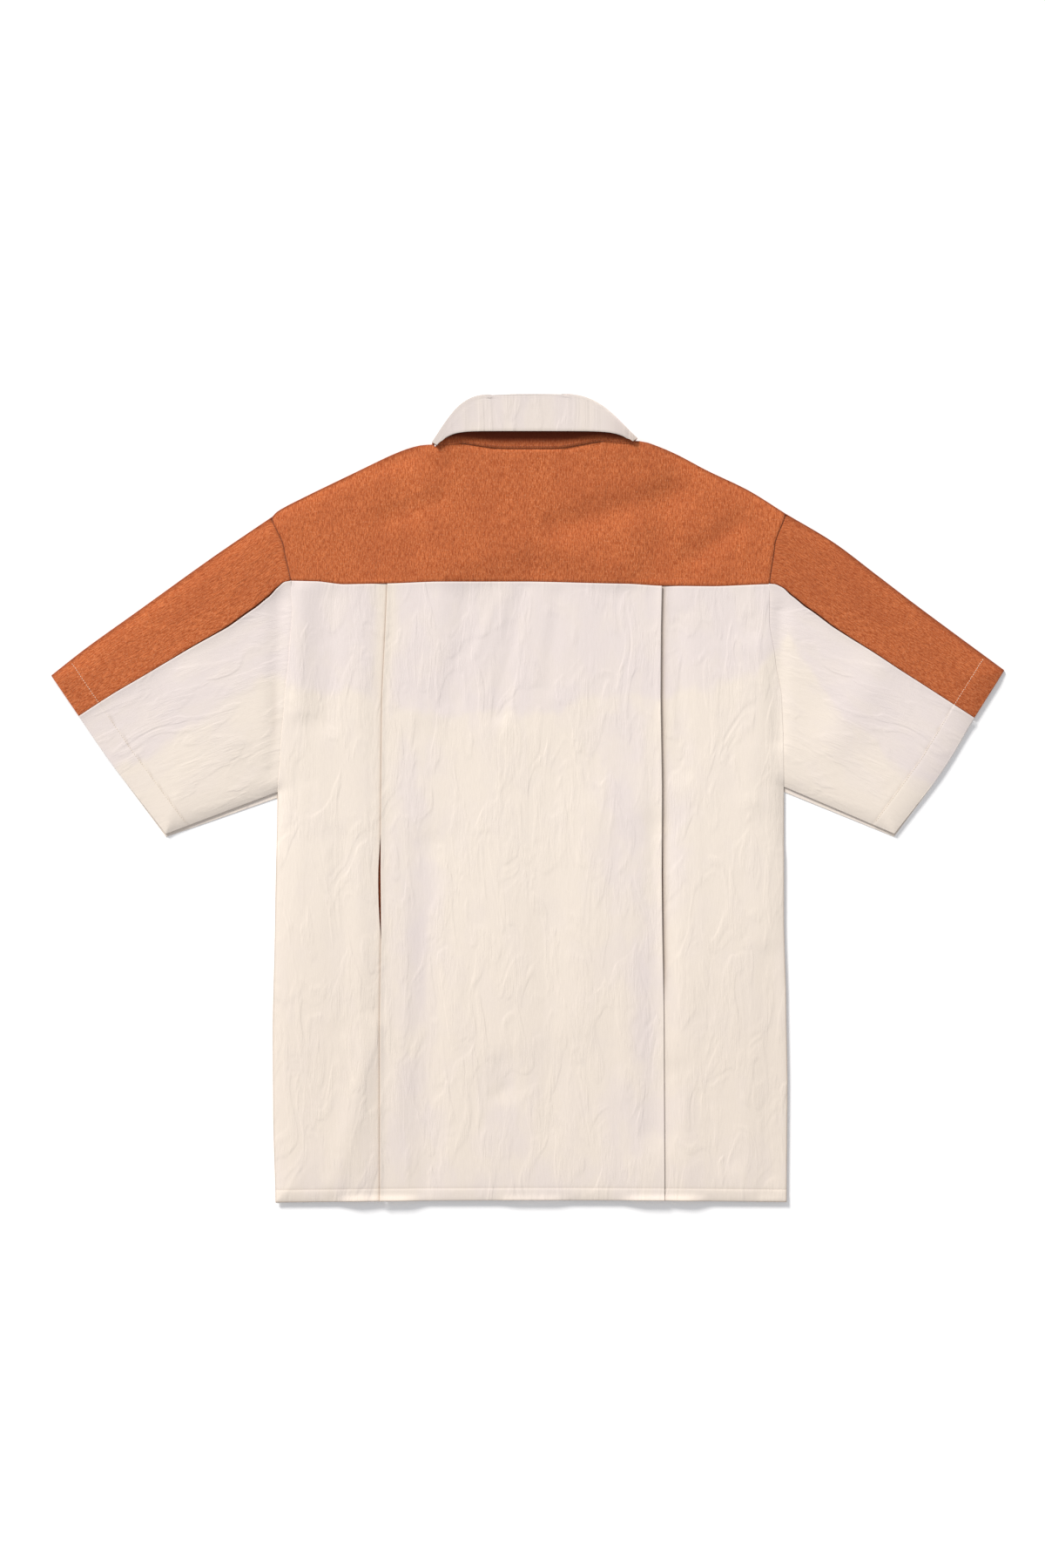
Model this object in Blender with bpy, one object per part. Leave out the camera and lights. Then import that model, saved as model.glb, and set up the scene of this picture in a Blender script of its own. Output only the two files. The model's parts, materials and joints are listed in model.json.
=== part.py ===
"""Short-sleeved bowling shirt, laid flat on its front with its back upward.

The ground is z = 0, the neck points along +Y and the wearer's left is at -X.
All sizes below are in millimetres; solid() turns them into metres.

Each piece is a wall of cloth between two faces, half a wall either side of its
middle. The middle of a flat piece is a patch spanned by its four cut edges, and
the layers take their heights from lower() and upper(), so that pieces which are
sewn together meet. The yoke and the sleeve bands go over the shoulder fold to
the front. The collar is swept round the neck, stand and leaf in one section.
"""

import math
from collections import namedtuple

import bpy
from mathutils import Vector

MM = 0.001

# Cloth, and how its layers lie on each other
WALL = 1.0
GAP = 0.3
STACK = WALL + GAP
ON_GROUND = WALL / 2
LOFT = 3.4  # the back's height over the front, well inside the edges
LOFT_RUN = 9.0
CROWN = 1.6  # further height towards the middle of the body
CROWN_RUN = 70.0

# Sides of the shirt as laid: each has its own sign along X
SIGN = {"left": -1, "right": 1}

# Outline of the body from the hem up: side seams, then armholes from the underarm up
Edge = namedtuple("Edge", "left_x left_y right_x right_y")
BODY_EDGE = (
    Edge(-255.6, -407.5, 260.5, -407.0),
    Edge(-258.0, -320.0, 261.4, -284.0),
    Edge(-258.5, -231.0, 260.0, -200.0),
    Edge(-256.1, -126.0, 257.8, -126.0),
    Edge(-253.8, 0.0, 257.8, 7.0),
    Edge(-250.5, 50.0, 257.4, 59.0),
    Edge(-246.2, 103.0, 255.6, 103.0),
    Edge(-241.8, 146.0, 249.0, 140.0),
    Edge(-238.4, 190.0, 243.0, 178.0),
    Edge(-240.4, 220.0, 243.2, 216.5),
    Edge(-246.9, 253.0, 248.6, 257.0),
    Edge(-259.6, 284.5, 259.6, 288.0),
)
Underarm = namedtuple("Underarm", "back front")
UNDERARM_Y = {"left": Underarm(7.0, 0.9), "right": Underarm(12.3, 7.0)}
ARMHOLE_GAP = 0.2  # more between sleeve and body, whose rows differ
BOW_POWER = 5  # how soon the set of the yoke's edge fades towards the neck
CUFF_FOOT_RISE = 3.0  # the back of the cuff ends this far above its front

# Sleeve: the fold along its top, the seam along its underside and its cuff
SLEEVE_TOP = (
    Edge(-259.6, 284.5, 259.6, 288.0),
    Edge(-320.5, 243.0, 308.0, 259.0),
    Edge(-395.0, 189.5, 353.0, 225.0),
    Edge(-446.0, 153.0, 399.0, 190.0),
    Edge(-482.3, 124.6, 480.5, 129.9),
)
CUFF = (
    Edge(-482.3, 124.6, 480.5, 129.9),
    Edge(-454.2, 83.4, 450.0, 81.6),
    Edge(-419.5, 33.4, 416.4, 26.2),
    Edge(-366.4, -38.5, 369.3, -38.3),
)
BandPoint = namedtuple("BandPoint", "along left right")
BAND_SEAM = (  # the band's share of the sleeve's depth, from the armhole (0) to the cuff (1)
    BandPoint(0.0, 0.232, 0.257),
    BandPoint(0.03, 0.2243, 0.2482),
    BandPoint(0.06, 0.2315, 0.248),
    BandPoint(0.1, 0.246, 0.261),
    BandPoint(0.17, 0.2575, 0.2757),
    BandPoint(0.3, 0.2687, 0.287),
    BandPoint(0.5, 0.26, 0.283),
    BandPoint(1.0, 0.252, 0.286),
)

# Shoulder fold from the neck to the shoulder point, and the yoke's seam
SHOULDER = (
    Edge(-95.0, 357.6, 106.0, 361.2),
    Edge(-112.0, 356.2, 119.6, 359.6),
    Edge(-135.5, 348.4, 147.8, 348.6),
    Edge(-171.6, 331.3, 180.4, 331.5),
    Edge(-244.6, 295.6, 222.0, 311.5),
    Edge(-259.6, 284.5, 259.6, 288.0),
)
YOKE_SEAM = (  # x, y
    (-240.4, 220.0), (-214.0, 219.4), (-187.4, 216.4), (-142.6, 217.2), (-94.2, 219.0), (0.0, 219.1),
    (99.4, 216.9), (134.6, 214.8), (187.4, 214.4), (243.2, 216.5),
)
YOKE_ON_FRONT = 42.0

# Back: the folded edges of the centre panel, and what opens beside them
Pleat = namedtuple("Pleat", "y left_x right_x")
PLEATS = (
    Pleat(-406.0, -150.0, 137.3), Pleat(-214.0, -150.0, 136.4), Pleat(-135.0, -148.8, 135.0),
    Pleat(-73.0, -149.4, 134.4), Pleat(15.0, -148.7, 134.6), Pleat(103.0, -147.8, 133.2),
    Pleat(173.0, -144.4, 133.6), Pleat(217.0, -142.6, 134.6),
)
PLEAT_OPEN = {"left": (-146.0, -32.0, 2.4), "right": (-160.0, -20.0, 0.6)}  # from y, to y, width
PLEAT_TUCK = 0.9  # side panel under the centre panel's edge
PLEAT_STEP = 1.5  # side panel below the centre panel, middle to middle
PLEAT_STEP_RUN = 7.0
INSERT_HALF = 22.0
INSERT_LIFT = 3.0
INSERT_RUN = 26.0
HEM_SAG = 2.0  # the hem's middle lies this far above a straight line through its corners

# Fronts
CENTRE_X = 4.0
OVERLAP = 15.0
NECK_FRONT_Y = 272.0
PLACKET_LIFT = 2.7
PLACKET_HALF = 17.0
PLACKET_RUN = 24.0
PLACKET_FOOT = (-330.0, -275.0)  # the placket comes down to the ground between these heights
OVERLAP_REACH = 24.0  # the upper front lies raised this far past the centre
OVERLAP_RUN = 22.0
NECKLINE_SHARES = (0.06, 0.2, 0.4, 0.7, 1.0)  # where the neckline is measured towards the centre
BUTTON_Y = (248.0, 148.0, 48.0, -52.0, -152.0, -252.0)
BUTTON_RADIUS = 7.5
BUTTON_HEIGHT = 2.4
BUTTON_DISH = 0.7

# Collar, both plies swept round the neck together
Collar = namedtuple(
    "Collar", "seam_x seam_y roll_x roll_y tip_x tip_y bulge_1 bulge_2 point_x point_y"
)
COLLAR = {
    "left": Collar(-93.0, 359.6, -43.0, 407.4, -98.0, 359.6, (-70.0, 406.6), (-80.0, 386.5), -74.0, 250.0),
    "right": Collar(104.5, 361.0, 38.7, 408.2, 110.4, 363.4, (76.0, 406.0), (86.0, 385.5), 84.0, 252.0),
}
NECK_BACK_Y = 352.9
NECK_RISE_FROM = 22.0
NECK_RISE_TO = 84.0
COLLAR_TOP_Y = 407.8
LEAF_EDGE_Y = 371.8
LEAF_DROP_POWER = 8
PLY_GAP = 0.6  # between the plies, which bend tightly at the neck's sides
COLLAR_HALF = WALL + PLY_GAP / 2
FRONT_ROLL_Y = 286.0  # where the roll ends at the centre front
COLLAR_PARTING = 2.0  # half the space between the collar's ends
COLLAR_LIFT = 2 * COLLAR_HALF + GAP
COLLAR_LIFT_RUN = 36.0
COLLAR_CLEAR = 9.0  # the front stays lifted this far round the collar
NECK_BULK = 2.6
NECK_BULK_RUN = 30.0
Level = namedtuple("Level", "stand leaf edge")  # middle of the two plies
COLLAR_BACK = Level(9.8, 16.2, 15.2)
COLLAR_FRONT = Level(5.6, COLLAR_HALF, COLLAR_HALF)
ROLL_REACH = 0.4  # most of the stand or leaf that its roll takes
STAND_RUN = 1.2  # how far the cloth bends outward at the neck's side, at the seam, roll and edge
ROLL_RUN = 2.0
LEAF_RUN = 5.2
TURN_AT_ROLL = (0.95, 0.31)  # the way it bends, first at the roll, then this share down
TURN_AT_TIP = (0.85, 0.53)
TURN_SHARE = 0.4
NECK_BEND_Y = 320.0

# Largest folds and swells of the upper side: a soft ridge or trough along a line
Fold = namedtuple("Fold", "x1 y1 x2 y2 width height")
FOLDS = (
    Fold(-224.0, 208.0, -226.0, 98.0, 11.0, -1.5),
    Fold(-252.0, 200.0, -257.0, 30.0, 10.0, -1.2),
    Fold(259.0, 198.0, 262.0, 138.0, 10.0, -1.3),
    Fold(-119.0, -70.0, -121.0, -385.0, 17.0, -1.2),
    Fold(106.0, -40.0, 104.0, -335.0, 17.0, -1.3),
    Fold(-14.0, 206.0, -64.0, 92.0, 11.0, -1.0),
    Fold(-160.0, -305.0, -192.0, -402.0, 11.0, -0.9),
    Fold(240.0, -166.0, 240.0, -400.0, 14.0, -1.0),
    Fold(-150.0, 337.0, -112.0, 346.0, 10.0, -0.9),
    Fold(-141.0, 284.0, -90.0, 301.0, 12.0, -0.9),
    Fold(32.0, 275.0, 147.0, 307.0, 16.0, -1.7),
    Fold(166.0, 243.0, 211.0, 275.0, 12.0, -1.2),
    Fold(-340.0, 121.0, -300.0, 60.0, 22.0, 1.3),
    Fold(350.0, 130.0, 310.0, 60.0, 24.0, 1.3),
    Fold(-30.0, 30.0, 20.0, -260.0, 60.0, 1.2),
)

# How finely the pieces are divided: across or along the piece
YOKE_COLUMNS = (9, 13, 9)  # left shoulder, neck, right shoulder
YOKE_ROWS = 7
FOLD_STEPS = 6
WRAP_ROWS = 3
BODY_ROWS = 22
CENTRE_COLUMNS = 14
SIDE_COLUMNS = 9
FRONT_COLUMNS = 12
SLEEVE_COLUMNS = 14
SLEEVE_BIAS = 1.4  # closer columns by the armhole
BAND_ROWS = 5
SLEEVE_ROWS = 9
COLLAR_BACK_STEPS = 7
COLLAR_SIDE_STEPS = 6
COLLAR_FRONT_STEPS = 6
STAND_STEPS = 3
ROLL_STEPS = 4
LEAF_STEPS = 4
BUTTON_SIDES = 18
ROW_BIAS = 0.35  # how much closer the rows come together towards the top
PLEAT_BIAS = 1.35  # and the columns beside the pleats and the placket
PLACKET_BIAS = 1.7
SHARP_ANGLE = 40.0  # degrees

RUST = ((0.53, 0.135, 0.045, 1.0), 0.92)
CREAM = ((0.87, 0.79, 0.71, 1.0), 0.90)
HORN = ((0.60, 0.47, 0.34, 1.0), 0.35)


# ---- Plane geometry ----

def lerp(a, b, share):
    """From a to b, for numbers and for points of any length."""
    if isinstance(a, (int, float)):
        return a + (b - a) * share
    return tuple(p + (q - p) * share for p, q in zip(a, b))


def ease(value):
    """0 up to 1, flat at both ends."""
    value = min(1.0, max(0.0, value))
    return value * value * (3 - 2 * value)


def side_points(rows, side):
    """One side's (x, y) points from a table of Edge rows."""
    column = 0 if side == "left" else 2
    return [(row[column], row[column + 1]) for row in rows]


def read(rows, at):
    """The second column where the first one is at, easing from each row to the next."""
    rows = sorted(rows)
    at = min(rows[-1][0], max(rows[0][0], at))
    a, b = next(pair for pair in zip(rows, rows[1:]) if at <= pair[1][0])
    share = (at - a[0]) / (b[0] - a[0])
    return lerp(a[1], b[1], lerp(share, ease(share), 0.5))


def edge_x(side, y):
    """The body's outline at this height."""
    return read([(row_y, x) for x, row_y in side_points(BODY_EDGE, side)], y)


def seam_y(x):
    """The yoke's seam on the back."""
    return read(YOKE_SEAM, x)


def seam_end(side):
    """Where the yoke's seam meets the armhole."""
    return YOKE_SEAM[0] if side == "left" else YOKE_SEAM[-1]


def through(points):
    """A smooth curve through the points, as a function of the share of its length."""
    lengths = [0.0]
    for a, b in zip(points, points[1:]):
        lengths.append(lengths[-1] + math.dist(a, b))
    ends = [lerp(points[1], points[0], 2.0), *points, lerp(points[-2], points[-1], 2.0)]

    def at(share):
        along = min(1.0, max(0.0, share)) * lengths[-1]
        i = max(k for k in range(len(points) - 1) if lengths[k] <= along + 1e-9)
        t = (along - lengths[i]) / (lengths[i + 1] - lengths[i])
        before, a, b, after = ends[i:i + 4]
        return tuple(
            0.5 * (2 * q + (r - p) * t + (2 * p - 5 * q + 4 * r - s) * t ** 2
                   + (3 * q - p - 3 * r + s) * t ** 3)
            for p, q, r, s in zip(before, a, b, after)
        )

    return at


def straight(a, b):
    return lambda share: lerp(a, b, share)


def patch(bottom, top, left, right):
    """The plane patch spanned by four edges: a function of the shares across and up."""
    def at(u, v):
        return tuple(
            (1 - v) * bottom(u)[k] + v * top(u)[k] + (1 - u) * left(v)[k] + u * right(v)[k]
            - (1 - u) * (1 - v) * bottom(0)[k] - u * (1 - v) * bottom(1)[k]
            - (1 - u) * v * top(0)[k] - u * v * top(1)[k]
            for k in range(2)
        )

    return at


def distance(x, y, x1, y1, x2, y2):
    """From a point to a straight stretch."""
    dx, dy = x2 - x1, y2 - y1
    share = ((x - x1) * dx + (y - y1) * dy) / max(dx * dx + dy * dy, 1e-9)
    share = min(1.0, max(0.0, share))
    return math.hypot(x - x1 - dx * share, y - y1 - dy * share)


def outline_distance(corners, x, y):
    return min(distance(x, y, *a, *b) for a, b in zip(corners, corners[1:] + corners[:1]))


def inside(corners, x, y):
    found = False
    for (x1, y1), (x2, y2) in zip(corners, corners[1:] + corners[:1]):
        if (y1 > y) != (y2 > y) and x < x1 + (y - y1) / (y2 - y1) * (x2 - x1):
            found = not found
    return found


# ---- Heights of the two layers ----

def back_cuff(side):
    """The cuff's edge on the back, from the top fold down."""
    points = side_points(CUFF, side)
    return points[:-1] + [(points[-1][0], points[-1][1] + CUFF_FOOT_RISE)]


def back_outline(side):
    """The upper layer's outline on one side, from the hem up to the neck."""
    body = [point for point in side_points(BODY_EDGE, side) if point[1] < 0]
    underarm = UNDERARM_Y[side].back
    return (body + [(edge_x(side, underarm), underarm)] + back_cuff(side)[::-1]
            + side_points(SLEEVE_TOP, side)[::-1] + side_points(SHOULDER, side)[::-1])


BODY_OUTLINE = back_outline("left") + [(-60.0, 420.0), (60.0, 420.0)] + back_outline("right")[::-1]
COLLAR_AREA = [
    (COLLAR["left"].roll_x, COLLAR["left"].roll_y), (COLLAR["left"].tip_x - 3, COLLAR["left"].tip_y),
    (COLLAR["left"].point_x - 4, COLLAR["left"].point_y - 4), (CENTRE_X, NECK_FRONT_Y),
    (COLLAR["right"].point_x + 4, COLLAR["right"].point_y - 4),
    (COLLAR["right"].tip_x + 3, COLLAR["right"].tip_y), (COLLAR["right"].roll_x, COLLAR["right"].roll_y),
]


def pleat_x(side, y):
    """Where the centre panel's folded edge lies at this height of the body."""
    column = 1 if side == "left" else 2
    rows = [row for row in PLEATS if row.y <= y]
    i = max(0, min(len(rows) - 1, len(PLEATS) - 2))
    a, b = PLEATS[i], PLEATS[i + 1]
    return lerp(a[column], b[column], (y - a.y) / (b.y - a.y))


def lower(x, y):
    """Middle of the front's cloth: on the ground, but over the collar where that lies under it."""
    apart = 0.0 if inside(COLLAR_AREA, x, y) else outline_distance(COLLAR_AREA, x, y)
    return ON_GROUND + COLLAR_LIFT * ease(1 - (apart - COLLAR_CLEAR) / COLLAR_LIFT_RUN)


def upper(x, y):
    """Middle of the back's cloth."""
    apart = outline_distance(BODY_OUTLINE, x, y)
    height = lower(x, y) + STACK
    height += LOFT * (1 - math.exp(-apart / LOFT_RUN)) + CROWN * (1 - math.exp(-apart / CROWN_RUN))
    for fold in FOLDS:
        across = distance(x, y, fold.x1, fold.y1, fold.x2, fold.y2) / fold.width
        height += fold.height * math.exp(-across ** 2) * ease(apart / LOFT_RUN)
    for collar in COLLAR.values():
        from_neck = math.hypot(x - collar.seam_x, y - collar.seam_y)
        height += NECK_BULK * ease(1 - from_neck / NECK_BULK_RUN)
    if y < YOKE_SEAM[0][1]:
        thick = max(ease((INSERT_HALF + INSERT_RUN - abs(x - pleat_x(side, y))) / INSERT_RUN)
                    for side in SIGN)
        bare = 1 - ease(apart / LOFT_RUN)  # the loft already clears the insert further in
        height += INSERT_LIFT * thick * bare + GAP * thick
        over_placket = ease(1 - (abs(x - CENTRE_X) - PLACKET_HALF) / OVERLAP_RUN)
        height += (STACK + GAP) * over_placket * bare
    return height


# ---- Solids ----

def material(name, finish):
    made = bpy.data.materials.new(name)
    made.use_nodes = True
    shader = made.node_tree.nodes["Principled BSDF"]
    shader.inputs["Base Color"].default_value = finish[0]
    shader.inputs["Roughness"].default_value = finish[1]
    shader.inputs["Metallic"].default_value = 0.0
    return made


def solid(name, points, faces, finish):
    mesh = bpy.data.meshes.new(name)
    mesh.from_pydata([[value * MM for value in point] for point in points], [], faces)
    mesh.validate()
    mesh.shade_smooth()
    mesh.set_sharp_from_angle(angle=math.radians(SHARP_ANGLE))
    mesh.materials.append(finish)
    made = bpy.data.objects.new(name, mesh)
    bpy.context.scene.collection.objects.link(made)
    return made


def normals(grid):
    """Unit normals of a grid of points, from its neighbours either way."""
    made = []
    for i, column in enumerate(grid):
        made.append([])
        for j in range(len(column)):
            across = grid[min(i + 1, len(grid) - 1)][j] - grid[max(i - 1, 0)][j]
            along = column[min(j + 1, len(column) - 1)] - column[max(j - 1, 0)]
            made[-1].append(across.cross(along).normalized())
    return made


def wall(name, grid, finish, has_cell=lambda i, j: True, outer=WALL / 2, inner=-WALL / 2):
    """A closed wall between two faces at these heights over a grid, drawn in by half a gap at its
    edges."""
    columns, rows = len(grid), len(grid[0])
    cells = {(i, j) for i in range(columns - 1) for j in range(rows - 1) if has_cell(i, j)}
    outward = normals(grid)
    middle = {}
    for i, j in {(i + a, j + b) for i, j in cells for a in (0, 1) for b in (0, 1)}:
        point = grid[i][j].copy()
        west, east = (any((i + a, j + b) in cells for b in (-1, 0)) for a in (-1, 0))
        south, north = (any((i + a, j + b) in cells for a in (-1, 0)) for b in (-1, 0))
        for step, inward in (((1, 0), east and not west), ((-1, 0), west and not east),
                             ((0, 1), north and not south), ((0, -1), south and not north)):
            if inward:
                point += (grid[i + step[0]][j + step[1]] - grid[i][j]).normalized() * GAP / 2
        middle[i, j] = point
    order = sorted(middle)
    place = {key: number for number, key in enumerate(order)}
    count = len(order)
    points = [middle[i, j] + outward[i][j] * height for height in (outer, inner) for i, j in order]
    faces, edges = [], set()
    for i, j in sorted(cells):
        ring = [place[key] for key in ((i, j), (i + 1, j), (i + 1, j + 1), (i, j + 1))]
        for a, b, c in ((0, 1, 2), (0, 2, 3)):  # both faces of the wall share their diagonals
            faces.append([ring[a], ring[b], ring[c]])
            faces.append([ring[c] + count, ring[b] + count, ring[a] + count])
        edges.update(zip(ring, ring[1:] + ring[:1]))
    for a, b in sorted(edges):
        if (b, a) not in edges:
            faces.append([b, a, a + count, b + count])
    return solid(name, points, faces, finish)


def sheet(at, columns, rows, height):
    """A grid over a plane patch, at the height that a function gives."""
    grid = []
    for i in range(columns + 1):
        grid.append([])
        for j in range(rows + 1):
            x, y = at(i / columns, j / rows)
            grid[-1].append(Vector((x, y, height(x, y))))
    return grid


def bowed(side, share, column, rows, low, high):
    """A column's first rows, set over so that a piece that is sewn into the armhole between the
    heights low and high follows its curve."""
    for point in column[:rows + 1]:
        straight_x = lerp(edge_x(side, low), edge_x(side, high), (point.y - low) / (high - low))
        point.x += (edge_x(side, point.y) - straight_x) * share ** BOW_POWER
    return column


def over_fold(seam, fold, reach):
    """Points from a seam on the back over a fold and back along the front: as far as the yoke
    reaches there, or under the seam for a sleeve's band, which has no reach of its own."""
    length = math.dist(seam, fold)
    extreme = lerp(seam, fold, 1 - WALL / 2 / length)
    drop = upper(*lerp(seam, fold, 1 - 2.0 / length)) - lower(*fold)
    start = lerp(seam, extreme, 1 - drop / 2 / length)
    top, base = upper(*start), lower(*start)
    points = []
    rows = BAND_ROWS if reach is None else YOKE_ROWS
    for k in range(rows):
        x, y = lerp(seam, start, k / rows)
        points.append(Vector((x, y, upper(x, y))))
    for k in range(FOLD_STEPS + 1):
        turn = math.pi * k / FOLD_STEPS
        x, y = lerp(start, extreme, math.sin(turn))
        points.append(Vector((x, y, (top + base) / 2 + (top - base) / 2 * math.cos(turn))))
    end = seam if reach is None else lerp(fold, seam, reach / length)
    for k in range(1, WRAP_ROWS + 1):
        x, y = lerp(start, end, k / WRAP_ROWS)
        points.append(Vector((x, y, lower(x, y))))
    return points


# ---- Body ----

def closer_up(share):
    """Rows come closer together towards the armholes and the neck."""
    return share + ROW_BIAS * math.sin(math.pi * share) / math.pi


def body_edge(side, top):
    """Side seam and armhole, from the hem up to the height top."""
    low = side_points(BODY_EDGE, side)[0][1]

    def at(share):
        y = lerp(low, top, closer_up(share))
        return edge_x(side, y), y

    return at


def hem(x1, x2):
    """The hem from one x to another, a little higher in the middle of the body."""
    corners = side_points(BODY_EDGE, "left")[0], side_points(BODY_EDGE, "right")[0]

    def at(share):
        x = lerp(x1, x2, share)
        part = (x - corners[0][0]) / (corners[1][0] - corners[0][0])
        return x, lerp(corners[0][1], corners[1][1], part) + HEM_SAG * 4 * part * (1 - part)

    return at


def yoke_seam(x1, x2):
    """The yoke's seam from one x to another."""
    return lambda share: (lerp(x1, x2, share), seam_y(lerp(x1, x2, share)))


def pleat_line(side, away):
    """The centre panel's edge from the hem up, with what is added to its x by away(y)."""
    def at(share):
        top_x = pleat_x(side, PLEATS[-1].y) + away(PLEATS[-1].y)
        low_y = hem(pleat_x(side, PLEATS[0].y), 0.0)(0.0)[1]
        y = lerp(low_y, seam_y(top_x), closer_up(share))
        return pleat_x(side, y) + away(y), y

    return at


def make_back_centre(cloth):
    left, right = (pleat_line(side, lambda y: 0.0) for side in SIGN)
    at = patch(hem(left(0)[0], right(0)[0]), yoke_seam(left(1)[0], right(1)[0]), left, right)
    wall("back_centre", sheet(at, CENTRE_COLUMNS, BODY_ROWS, upper), cloth)


def make_back_side(side, cloth):
    """From the pleat out to the side seam: it goes a little under the centre panel, and opens
    where the pleat does."""
    sign = SIGN[side]
    low, high, width = PLEAT_OPEN[side]

    def away(y):
        opened = math.sin(math.pi * min(1.0, max(0.0, (y - low) / (high - low))))
        return sign * ((width + PLEAT_TUCK) * opened ** 0.7 - PLEAT_TUCK)

    def height(x, y):
        apart = max(0.0, sign * (x - pleat_x(side, y)))
        return upper(x, y) - PLEAT_STEP * math.exp(-(apart / PLEAT_STEP_RUN) ** 2)

    inner = pleat_line(side, away)
    outer = body_edge(side, seam_end(side)[1])
    left, right = (outer, inner) if side == "left" else (inner, outer)
    at = patch(hem(left(0)[0], right(0)[0]), yoke_seam(left(1)[0], right(1)[0]), left, right)

    def eased(u, v):
        """Closer columns beside the pleat."""
        return at(1 - (1 - u) ** PLEAT_BIAS if side == "left" else u ** PLEAT_BIAS, v)

    wall(f"back_side_{side}", sheet(eased, SIDE_COLUMNS, BODY_ROWS, height), cloth)


def make_pleat_insert(side, cloth):
    """The strip that shows where the pleat opens."""
    line = pleat_line(side, lambda y: 0.0)

    def at(u, v):
        x, y = line(0.01 + 0.98 * v)
        return x + lerp(-INSERT_HALF, INSERT_HALF, u), y

    wall(f"pleat_insert_{side}", sheet(at, 2, BODY_ROWS // 2, lambda x, y: lower(x, y) + STACK), cloth)


def front_seam_end(side):
    """The outer end of the yoke's seam on the front, on the armhole."""
    fold, seam = yoke_column(side, 1.0)
    y = lerp(fold, seam, (YOKE_ON_FRONT + GAP) / math.dist(fold, seam))[1]
    return edge_x(side, y), y


def yoke_column(side, share):
    """Shoulder point and seam point of a yoke column, from the neck (0) to the armhole (1)."""
    fold = through(side_points(SHOULDER, side))(share)
    x = lerp(COLLAR[side].seam_x, seam_end(side)[0], share)
    return fold, (x, seam_y(x))


def front_top(side):
    """The front's upper edge from the armhole: the yoke's seam and the neckline."""
    points = [front_seam_end(side)]
    columns = YOKE_COLUMNS[0]
    for k in range(1, columns + 1):
        fold, seam = yoke_column(side, 1 - k / columns)
        points.append(lerp(fold, seam, (YOKE_ON_FRONT + GAP) / math.dist(fold, seam)))
    neck_x, neck_y = points[-1]
    end = CENTRE_X - SIGN[side] * OVERLAP
    curve = [(lerp(neck_x, CENTRE_X, share), share) for share in NECKLINE_SHARES]
    points += [(x, neck_y - (neck_y - NECK_FRONT_Y) * (1 - (1 - share) ** 3)) for x, share in curve]
    return through(points + [(end, NECK_FRONT_Y)])


def front_height(side):
    def height(x, y):
        lift = ease(1 - (abs(x - CENTRE_X) - PLACKET_HALF) / PLACKET_RUN)
        lift *= ease((y - PLACKET_FOOT[0]) / (PLACKET_FOOT[1] - PLACKET_FOOT[0]))
        over = PLACKET_LIFT * lift
        if side == "right":
            over += (STACK + GAP / 2) * ease(1 - (x - CENTRE_X - OVERLAP_REACH) / OVERLAP_RUN)
        collar = lower(x, y) - ON_GROUND
        return ON_GROUND + over + collar * (1 - lift)

    return height


def make_front(side, cloth):
    top = front_top(side)
    outer = body_edge(side, top(0)[1])
    inner_x = CENTRE_X - SIGN[side] * OVERLAP
    low = hem(inner_x, 0.0)(0.0)

    def inner(share):
        return lerp(low, top(1), closer_up(share))

    if side == "left":
        at = patch(hem(outer(0)[0], inner_x), top, outer, inner)
    else:
        at = patch(hem(inner_x, outer(0)[0]), lambda share: top(1 - share), inner, outer)

    def eased(u, v):
        """Closer columns beside the placket."""
        return at(1 - (1 - u) ** PLACKET_BIAS if side == "left" else u ** PLACKET_BIAS, v)

    wall(f"front_{side}", sheet(eased, FRONT_COLUMNS, BODY_ROWS, front_height(side)), cloth)


def neck_seam(side, share):
    """The back neck's seam, from the centre back (0) to the shoulder (1)."""
    collar = COLLAR[side]
    x = lerp(0.0, collar.seam_x, share)
    rise = ease((abs(x) - NECK_RISE_FROM) / (NECK_RISE_TO - NECK_RISE_FROM))
    return x, lerp(NECK_BACK_Y, collar.seam_y, rise)


def make_yoke(cloth):
    left, neck, right = YOKE_COLUMNS
    grid = []

    def column_at(side, share):
        (_, high), (_, low) = yoke_column(side, 1.0)
        fold, seam = yoke_column(side, share)
        return bowed(side, share, over_fold(seam, fold, YOKE_ON_FRONT), YOKE_ROWS, low, high)

    for k in range(left):
        grid.append(column_at("left", 1 - k / left))
    for k in range(neck + 1):
        across = 2 * k / neck - 1
        side = "left" if across < 0 else "right"
        fold, seam = yoke_column(side, 0.0)
        shoulder = over_fold(seam, fold, YOKE_ON_FRONT)
        x, y = neck_seam(side, abs(across))
        foot = (x, seam_y(x))
        edge = lerp((x, y), (shoulder[YOKE_ROWS].x, shoulder[YOKE_ROWS].y), ease(abs(across) ** 6))
        column = [lerp(foot, edge, j / YOKE_ROWS) for j in range(YOKE_ROWS + 1)]
        column = [Vector((*point, upper(*point))) for point in column]
        grid.append(column + shoulder[YOKE_ROWS + 1:])
    for k in range(1, right + 1):
        grid.append(column_at("right", k / right))
    wall("back_yoke", grid, cloth,
         lambda i, j: j < YOKE_ROWS or not left <= i < left + neck)


# ---- Sleeves ----

def sleeve_patch(side, layer):
    """The flat sleeve: shares along it from the armhole, and down it from the top fold."""
    high, low = side_points(BODY_EDGE, side)[-1][1], getattr(UNDERARM_Y[side], layer)
    top = through(side_points(SLEEVE_TOP, side))
    cuff = through(back_cuff(side) if layer == "back" else side_points(CUFF, side))

    def armhole(share):
        y = lerp(high, low, share)
        return edge_x(side, y) + SIGN[side] * ARMHOLE_GAP, y

    return patch(top, straight(armhole(1), cuff(1)), armhole, cuff)


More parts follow.
